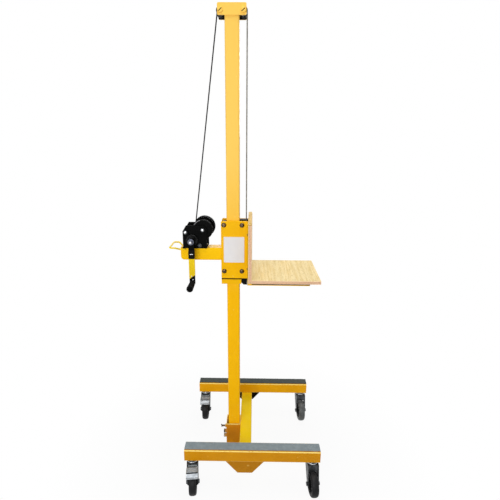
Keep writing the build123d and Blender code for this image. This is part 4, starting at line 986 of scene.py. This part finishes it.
# %% Wind the drum
DIP, DIP_TURN, DIP_POINTS, LAYER_POINTS = 4.5, 0.25, 12, 306
dips = [i / DIP_POINTS for i in range(DIP_POINTS + 1)]
winding = [round_drum(-DIP_TURN * (1 - s), WOUND_R - DIP * (1 - s)) for s in dips[:-1]]
winding += [round_drum(LAST_TURN * i / LAYER_POINTS, WOUND_R) for i in range(LAYER_POINTS + 1)]
winding += [round_drum(LAST_TURN + DIP_TURN * s, WOUND_R - DIP * s) for s in dips[1:]]
wound = settle_rope(laid(winding), "wound_rope_strands", "drum", rope_dark, "drum_rope")
print(wound.name, len(wound.data.polygons), "faces")

# %% [markdown]
# ## Turned pieces
# Wheels, grips, ferrules and bolt heads are round, so they are made as on a lathe: an outline is pulled out
# vertex by vertex and spun about Z. Cylinders would do too, but an outline shows the section at a glance. The
# first are the rope's crimped ferrule, the inner rope layers, and the drum's rolled rim, which shows pale grey
# along an arc as a painted highlight.

# %% Helpers for turned pieces and copies
TO_FRONT, TO_BACK, TO_RIGHT, TO_TOP = (0, -1, 0), (0, 1, 0), (1, 0, 0), (0, 0, 1)


def turned(outline, steps=32):
    """Spins an outline of (radius, height) in mm about Z at the origin."""
    piece = shape(bpy.ops.mesh.primitive_plane_add, size=MM)
    points = [Vector((radius, 0, height)) * MM for radius, height in outline]
    with edit_points(piece):
        bpy.ops.mesh.merge(type="CENTER")
        bpy.ops.transform.translate(value=points[0])
        for here, there in zip(points, points[1:]):
            bpy.ops.mesh.extrude_vertices_move(TRANSFORM_OT_translate={"value": there - here})
        bpy.ops.mesh.select_all(action="SELECT")
        bpy.ops.mesh.spin(steps=steps, angle=TURN, center=(0, 0, 0), axis=(0, 0, 1))
        bpy.ops.mesh.select_all(action="SELECT")
        bpy.ops.mesh.remove_doubles(threshold=1e-6)
        bpy.ops.mesh.normals_make_consistent(inside=False)
    return piece


def set_at(piece, place, facing, roll=0.0):
    """Turns a piece's Z to a direction and moves it to its place."""
    aim = Vector(facing).to_track_quat("Z", "Y").to_matrix().to_4x4()
    piece.matrix_world = Matrix.Translation(place) @ aim @ Matrix.Rotation(radians(roll), 4, "Z")
    return apply_place(piece)


def copy_at(pattern, *where, **roll):
    return set_at(copy_of(pattern), *where, **roll)


def join(first, *others):
    take(first)
    for other in others:
        other.select_set(True)
    bpy.ops.object.join()
    return first


print("lathe ready")

# %% Turn the ferrule, the inner rope layers and the drum's rim
FERRULE_Z, CORE_R, CORE_HALF, LAYER_R, LAYER_GROOVE = 1055.5, 16.2, 25.9, 27.2, 0.7
RIM_R, RIM_BEAD, RIM_Y, PAINTED_HIGHLIGHT_ARC = 37.6, 1.7, -29.3, (105, 152)
LAYER_STEPS, RIM_SIDES = 20, 12
drum_axis = at(DRUM_X, 0, DRUM_Z)


def is_on_painted_highlight(face):
    angle = degrees(atan2(face.center.z - drum_axis.z, face.center.x - drum_axis.x))
    return PAINTED_HIGHLIGHT_ARC[0] < angle < PAINTED_HIGHLIGHT_ARC[1]


ferrule = turned([(2.5, 0), (3.6, 0.2), (4.3, 1.2), (4.5, 3), (4.5, 5), (4.0, 6), (4.0, 8), (4.5, 9),
                  (4.5, 11), (4.0, 12), (4.0, 14), (4.5, 15), (4.5, 16.4), (4.1, 18.2), (2.5, 18.8), (2.5, 0)])
ferrule.location = at(SHEAVE_X + PITCH_R, 0, FERRULE_Z)
settle(ferrule, "rope_ferrule_crimped", "carriage", zinc_plate, "wire_rope")
layers = [(LAYER_R - LAYER_GROOVE * (i % 2), -CORE_HALF + 2 * CORE_HALF * i / LAYER_STEPS)
          for i in range(LAYER_STEPS + 1)]
core = turned([(CORE_R, -CORE_HALF)] + layers + [(CORE_R, CORE_HALF), (CORE_R, -CORE_HALF)], steps=40)
settle(set_at(core, drum_axis, TO_BACK), "inner_rope_layers", "drum", rope_dark, "wire_rope")
angles = [TURN * i / RIM_SIDES for i in range(RIM_SIDES + 1)]
bead = [(RIM_R + RIM_BEAD * cos(a), RIM_BEAD * sin(a)) for a in angles]
rim = set_at(turned(bead, steps=72), at(DRUM_X, RIM_Y, DRUM_Z), TO_FRONT)
# painted highlight: an arc of the rim at its upper left is marked to show pale grey
mark_faces(rim, "edge", is_on_painted_highlight)
settle(rim, "drum_rolled_rim", "drum", rim_black, "black_paint")
print("turned", ferrule.name, core.name, rim.name)

# %% [markdown]
# ## Castor wheels
# A castor wheel is a nylon core with six ribs inside a rubber tyre. The ribs could be six blocks, but pushing
# out every tenth face of the web keeps the core in one piece. Each wheel stands a little askew, so its axle is
# found from its node, as the level direction in which the wheel is thinnest.

# %% Turn the wheels
CORNERS = ("front_left", "front_right", "rear_left", "rear_right")
TYRE = [(33.8, -11.6), (35.2, -13.0), (38.0, -14.2), (41.5, -14.9), (44.6, -14.6), (47.2, -13.1),
        (49.0, -10.8), (50.0, -8.0), (50.55, -5.0), (50.75, -2.2)]
CORE = [(5.2, -19.2), (12.6, -19.2), (13.6, -18.6), (14.0, -17.6), (14.4, -9.6), (16.0, -8.6), (29.5, -8.2),
        (30.8, -9.0), (31.4, -12.2), (32.4, -12.7), (34.2, -12.4)]
CORE_STEPS, RIB_EVERY, RIB_HEIGHT = 60, 10, 2.2 * MM
WEB_LOW, WEB_HIGH, HUB_R = 7.5 * MM, 8.55 * MM, 17 * MM


def mirrored(half):
    """An outline with its other half added, and the loop closed."""
    return half + [(r, -h) for r, h in reversed(half)] + half[:1]


def is_rib(face):
    step = int((atan2(face.center.y, face.center.x) / TURN + 1) * CORE_STEPS + 0.01)
    on_web = WEB_LOW < abs(face.center.z) < WEB_HIGH and face.center.xy.length > HUB_R
    return on_web and step % RIB_EVERY == 0


def axle_direction(node):
    points = [v.co for v in frame["nodes"][node].data.vertices]
    mid = sum(points, Vector()) / len(points)
    away = [p - mid for p in points]
    spread = sum(p.x ** 2 - p.y ** 2 for p in away)
    rolling = 0.5 * atan2(2 * sum(p.x * p.y for p in away), spread)
    return Vector((-sin(rolling), cos(rolling), 0))


tyre_pattern = turned(mirrored(TYRE), steps=64)
core_pattern = turned(mirrored(CORE), steps=CORE_STEPS)
with edit_mode(core_pattern, faces=is_rib):
    bpy.ops.mesh.extrude_region_shrink_fatten(TRANSFORM_OT_shrink_fatten={"value": RIB_HEIGHT})
for corner in CORNERS:
    wheel = corner + "_wheel"
    low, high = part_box(wheel)
    where = (low + high) / 2, axle_direction(wheel)
    # painted light: the rear right tyre is a lighter grey than the others
    rubber = lit_grey_tyre if corner == "rear_right" else tyre_rubber
    settle(copy_at(tyre_pattern, *where), corner + "_tyre", wheel, rubber, "tyre_rubber", wheel)
    settle(copy_at(core_pattern, *where), corner + "_wheel_core", wheel, black_nylon, "nylon")
    print(corner, "axle", tuple(round(c, 3) for c in where[1]))
discard(tyre_pattern, core_pattern)

# %% [markdown]
# ## Bolts and nuts
# The rollers run on button-head bolts with a driver recess, the sheaves on slotted pins painted over with the
# mast. A slot could be cut with a Boolean, but two bisects and an extrude down leave a cleaner mesh. Nuts are
# six-sided cylinders with the top drawn in, and a stud end on top.

# %% Model the bolt heads and nuts
SLOT_HALF, SLOT_DEPTH = 1.3 * MM, 2.2 * MM
PLATE_Y, CAP_Y, SLOT_OUT = 32.4, 29.4, 5.0
ROLLER_X, ROLLER_HEIGHTS = 35.3, (1068, 879)
BODY_SHARE, DRAWN_IN = 0.85, 0.84


def hex_nut(flats, height, stud_r, stud_out):
    body = BODY_SHARE * height * MM
    nut = shape(bpy.ops.mesh.primitive_cylinder_add, vertices=6, radius=flats / sqrt(3) * MM, depth=body,
                location=(0, 0, body / 2))
    apply_place(nut)
    with edit_mode(nut, faces=lambda f: f.normal.z > 0.9):
        bpy.ops.mesh.extrude_region_move(TRANSFORM_OT_translate={"value": (0, 0, height * MM - body)})
        bpy.ops.transform.resize(value=(DRAWN_IN, DRAWN_IN, 1))
    stud = turned([(0, height), (stud_r, height), (stud_r, height + 0.7 * stud_out),
                   (0.7 * stud_r, height + stud_out), (0, height + stud_out)], steps=20)
    return join(nut, stud)


def slotted_head(radius, height):
    head = turned([(0, 0), (radius, 0), (radius, 0.55 * height), (0.95 * radius, 0.85 * height),
                   (0.84 * radius, height), (0, height)])
    bisect_all(head, (0, 1, 0), [(0, -SLOT_HALF, 0), (0, SLOT_HALF, 0)])
    with edit_mode(head, faces=lambda f: abs(f.center.y) < SLOT_HALF and f.normal.z > 0.9):
        bpy.ops.mesh.extrude_region_move(TRANSFORM_OT_translate={"value": (0, 0, -SLOT_DEPTH)})
    return head


def settle_bolt(head, nut, kind, index, body, finish, node):
    """The first head stands for the node that holds all the bolts of its kind."""
    nodes = [node] if index == 0 else []
    settle(head, f"{kind}_head_{index}", body, finish, NODE_SLOT[node], *nodes)
    settle(nut, f"{kind}_nut_{index}", body, finish, NODE_SLOT[node])


def is_slot_floor(face):
    return face.center.y > MAST_AXIS.y - (CAP_Y + SLOT_OUT) * MM and abs(face.normal.y) > 0.9


button_head = turned([(0, 2.4), (2.9, 2.4), (2.9, 5.3), (3.6, 5.45), (5.6, 5.0), (7.6, 3.8), (9.0, 2.0),
                      (9.6, 0.5), (9.5, 0), (0, 0)])
slot_head = slotted_head(9.6, 5.4)
big_nut = hex_nut(15, 6, 4.6, 1.4)
for index, (x, z) in enumerate((x, z) for z in ROLLER_HEIGHTS for x in (-ROLLER_X, ROLLER_X)):
    head = copy_at(button_head, at(x, -PLATE_Y, z), TO_FRONT)
    nut = copy_at(big_nut, at(x, PLATE_Y, z), TO_BACK, roll=25 * index)
    settle_bolt(head, nut, "roller_bolt", index, "carriage", dark_steel, "roller_bolts")
for index, x in enumerate((-SHEAVE_X, SHEAVE_X)):
    head = copy_at(slot_head, at(x, -CAP_Y, SHEAVE_Z), TO_FRONT, roll=40)
    nut = copy_at(big_nut, at(x, CAP_Y, SHEAVE_Z), TO_BACK, roll=17 * index)
    settle_bolt(head, nut, "sheave_pin", index, "base", mast_paint, "sheave_axles")
    # painted shade: the slot floors are near black
    repaint(head, shade_black, is_slot_floor)
discard(button_head, slot_head, big_nut)

# %% [markdown]
# ## The crank
# The crank is a flat bar with a rubber sleeve, a small hinge pin, a plain yellow stretch and a ridged grip that
# spins on its stud. Sleeve and stretch could be painted on, but they stand proud, so they are blocks with broken
# edges. Bright stud ends and rivets mark the bolts of winch and crank.

# %% Model the crank, its grip and the winch's stud ends
CRANK_X, CRANK_Z, GRIP_Z = -159.36, 1009.59, 840.89
RIDGES, RIDGE_PITCH, RIDGE_DEPTH, GRIP_R, GRIP_SWELL = 34, 1.75, 0.8, 11.3, 1.5


def bevelled_block(low, high, width, corner=0.0, axis=0):
    """A block with its edges broken, and first its corners round one axis if asked; sizes in mm."""
    piece = block(low, high)
    if corner:
        with edit_mode(piece, edges=lambda e: runs_along(piece.data, e, axis)):
            bpy.ops.mesh.bevel(offset=corner * MM, segments=4)
    break_edges(piece, width)
    return piece


sleeve_yellow = paint("crank_yellow_sleeve", (0.86, 0.62, 0.015), (0.78, 0.54, 0.01))
sleeve = bevelled_block(at(CRANK_X - 12.4, -70.6, 940.5), at(CRANK_X + 12.4, -62.2, 975.5), 2.6)
with edit_mode(sleeve, faces=lambda f: abs(f.normal.y) > 0.95):
    bpy.ops.mesh.inset(thickness=2.5 * MM, depth=0)
    bpy.ops.mesh.inset(thickness=1.2 * MM, depth=-0.7 * MM)
settle(sleeve, "crank_rubber_sleeve", "crank", black_grip, "black_grip")
hinge_pin = turned([(0, -5.8), (1.2, -5.8), (1.6, -5.2), (1.6, 5.2), (1.2, 5.8), (0, 5.8)], steps=16)
set_at(hinge_pin, at(CRANK_X, -70.4, 959), TO_RIGHT)
settle(hinge_pin, "crank_hinge_pin", "crank", zinc_plate, "zinc_steel")
stretch = block(at(CRANK_X - 11.8, -69.9, 850), at(CRANK_X + 11.8, -62.7, 940))
with edit_mode(stretch):
    bpy.ops.mesh.bisect(plane_co=at(CRANK_X, -66, 865.5), plane_no=(0.586, 0, -0.81), use_fill=True,
                        clear_outer=True)
break_edges(stretch, 0.9)
settle(stretch, "crank_yellow_stretch", "crank", sleeve_yellow, "yellow_paint")
ridges = [(GRIP_R + GRIP_SWELL * i / RIDGES - RIDGE_DEPTH * (i % 2), 5.0 + RIDGE_PITCH * i)
          for i in range(RIDGES)]
grip = turned([(5.2, 0), (9.6, 0), (10.8, 0.8), (11.2, 2.4)] + ridges
              + [(12.9, 64.5), (12.7, 66.6), (11.4, 68), (5.2, 68), (5.2, 0)], steps=40)
set_at(grip, at(CRANK_X, -69.6, GRIP_Z), TO_FRONT)
settle(grip, "crank_grip_ridged", "crank_grip", black_grip, "black_grip", "crank_grip")
stud_end = turned([(0, 0), (5.4, 0), (5.4, 1.1), (4.5, 2.2), (2.6, 2.9), (0, 3.1)], steps=20)
rivet = turned([(0, 0), (2.4, 0), (2.2, 0.7), (1.3, 1.3), (0, 1.5)], steps=16)
for name, pattern, place, body, finish in (
        ("pawl_stud_end", stud_end, at(-184, -50.6, 1041), "carriage", zinc_plate),
        ("drum_stud_end", stud_end, at(DRUM_X, -41, DRUM_Z), "carriage", zinc_plate),
        ("tie_stud_end", stud_end, at(-130, -41, 987), "carriage", fork_zinc),
        ("crank_stud_end", stud_end, at(CRANK_X, -87.2, CRANK_Z), "crank", zinc_plate),
        ("upper_crank_rivet", rivet, at(CRANK_X - 2, -69.9, 868), "crank", zinc_plate),
        ("lower_crank_rivet", rivet, at(CRANK_X + 3, -69.3, 855), "crank", zinc_plate)):
    settle(copy_at(pattern, place, TO_FRONT), name, body, finish, "zinc_steel")
discard(stud_end, rivet)
print("grip faces", len(grip.data.polygons))

# %% [markdown]
# ## Small parts of the carriage
# A blank white plate is stuck to the front. A black strip under the front plate, a black block at the top
# behind the rope and a black strip between shelf and front arm stand where the carriage lies in shade, as
# painted shade. Flat quads would do from afar, but they catch no light at the edges, so all are blocks with
# broken edges.

# %% Model the plate, and the strips and block of painted shade
PLATE_CORNER = 3.0
plate_white = paint("plate_white", (0.81, 0.81, 0.83), (0.76, 0.76, 0.785), (0.9, 0.9, 0.9), (0.3, 0.45),
                    shine=0.1, sheen=(1, 1, 1), dust=0.0)
plate = bevelled_block(at(-36.5, -33.1, 916), at(44.5, -32.35, 1021), 0.2, corner=PLATE_CORNER, axis=1)
settle(plate, "blank_white_plate", "carriage", plate_white, "yellow_paint")
# painted shade: black pieces where the carriage lies in shade
for name, low, high, width in (
        ("painted_shade_strip_under_plate", at(-46.6, -32.2, 844.2), at(32.6, -30.3, 849.0), 0.5),
        ("painted_shade_block_at_top", at(27, 6, 1078.4), at(58.5, 27.4, 1083.6), 0.8),
        ("painted_shade_strip_under_shelf", at(75.2, -133.6, 860.2), at(296, -132.6, 863.5), 0.3)):
    settle(bevelled_block(low, high, width), name, "carriage", black_nylon, "nylon")
print("plate in mm", [round(d / MM, 1) for d in plate.dimensions])

# %% [markdown]
# ## Welds
# A weld bead is a row of frozen ripples. Bump would leave it straight in outline, so it is a thin cylinder along
# the seam, cut into rings of which every second is drawn in. Each seam is listed once and laid in front and
# behind.

# %% Lay the welds
RIPPLE, HOLLOW, BEAD_SIDES = 1.7 * MM, 0.7, 10
WELDS = (  # name, distance to the side, (x, z) of both ends, radius, body, finish
    ("arm", 27.8, (-47.4, 929), (-47.4, 968), 2.6, "carriage", carriage_paint),
    ("handle", 28.2, (-207, 964.6), (-190, 964.6), 1.8, "carriage", carriage_paint),
    ("gusset", 234.6, (-24, 144.6), (132, 144.6), 2.2, "base", gusset_paint),
    ("cap", 26.2, (-21, 1791.6), (21, 1791.6), 1.9, "base", mast_paint),
    ("socket", 30.6, (29.2, 97), (29.2, 142), 2.4, "base", socket_paint),
)


def weld(name, start, end, radius, body, finish):
    length = (end - start).length
    rings = max(5, round(length / RIPPLE))
    bead = shape(bpy.ops.mesh.primitive_cylinder_add, vertices=BEAD_SIDES, radius=radius * MM, depth=length)
    with edit_mode(bead, edges=lambda e: runs_along(bead.data, e, 2)):
        bpy.ops.mesh.subdivide(number_cuts=rings)

    def is_drawn_in(edge):
        middle = sum(bead.data.vertices[i].co.z for i in edge.vertices) / 2
        return not runs_along(bead.data, edge, 2) and round((middle / length + 0.5) * (rings + 1)) % 2 == 0

    with edit_mode(bead, edges=is_drawn_in):
        bpy.ops.transform.resize(value=(HOLLOW, HOLLOW, 1), center_override=(0, 0, 0))
    set_at(bead, (start + end) / 2, end - start)
    settle(bead, name, body, finish, "yellow_paint", **RIPPLED)


for mark, side in (("front", -1), ("back", 1)):
    for name, y, (x0, z0), (x1, z1), *rest in WELDS:
        weld(f"{name}_weld_{mark}", at(x0, side * y, z0), at(x1, side * y, z1), *rest)

# %% [markdown]
# ## Small parts of the castors
# Each castor turns in a bright raceway under its leg. Those without a brake have a skirt above the wheel, those
# with one have ribs and a rubber edge on the pedal. All are made about their castor's pivot and then turned with
# it, which is simpler than building them askew.

# %% Model the raceways, the skirts and the pedals' ribs
CASTOR_X, CASTOR_Y = (-159, 327.5), (-220, 220)
CASTOR_TURN = {"front_left": 6, "front_right": 6, "rear_left": 2, "rear_right": 5}
RIB_X, RIB_Y, RIB_FOOT, RIB_TOP, LIP_Y = 18.5, 1.3, 128.4, 130.4, -68 * MM
raceway = turned([(23.0, 135.1), (24.4, 135.1), (25.0, 136.0), (25.2, 137.4), (24.9, 138.8), (24.3, 139.5),
                  (23.0, 139.5), (23.0, 135.1)], steps=48)


def castor_block(low, high, width):
    return bevelled_block(Vector(low) * MM, Vector(high) * MM, width)


def castor_place(corner):
    """A castor's pivot, turned as the castor is."""
    pivot = at(CASTOR_X["right" in corner], CASTOR_Y["rear" in corner], 0)
    return Matrix.Translation(pivot) @ Matrix.Rotation(radians(CASTOR_TURN[corner]), 4, "Z")


for corner in CORNERS:
    ring = copy_at(raceway, castor_place(corner).translation, TO_TOP)
    settle(ring, corner + "_raceway", corner + "_fork", zinc_plate, "zinc_steel")
for corner in CORNERS[1::2]:
    skirt = castor_block((-19.3, -27.8, 104.6), (19.3, -25.4, 131.0), 0.6)
    skirt.matrix_world = castor_place(corner)
    settle(skirt, corner + "_fork_skirt", corner + "_fork", fork_zinc, "zinc_steel")
for corner in CORNERS[::2]:
    place, pedal = castor_place(corner), corner + "_brake_pedal"
    ribs = join(*(castor_block((-RIB_X, y - RIB_Y, RIB_FOOT), (RIB_X, y + RIB_Y, RIB_TOP), 0.5)
                  for y in (-45, -51, -57, -63)))
    edge = castor_block((-22, -69.4, 127.6), (22, -65.4, 130.0), 0.6)
    ribs.matrix_world = edge.matrix_world = place
    repaint(soft[pedal], rib_zinc, lambda f: (place.inverted() @ f.center).y < LIP_Y)
    settle(edge, corner + "_pedal_rubber", pedal, black_nylon, "nylon")
    settle(ribs, corner + "_pedal_ribs", pedal, rib_zinc, "zinc_steel")
discard(raceway)
print("castors dressed", len(CORNERS))
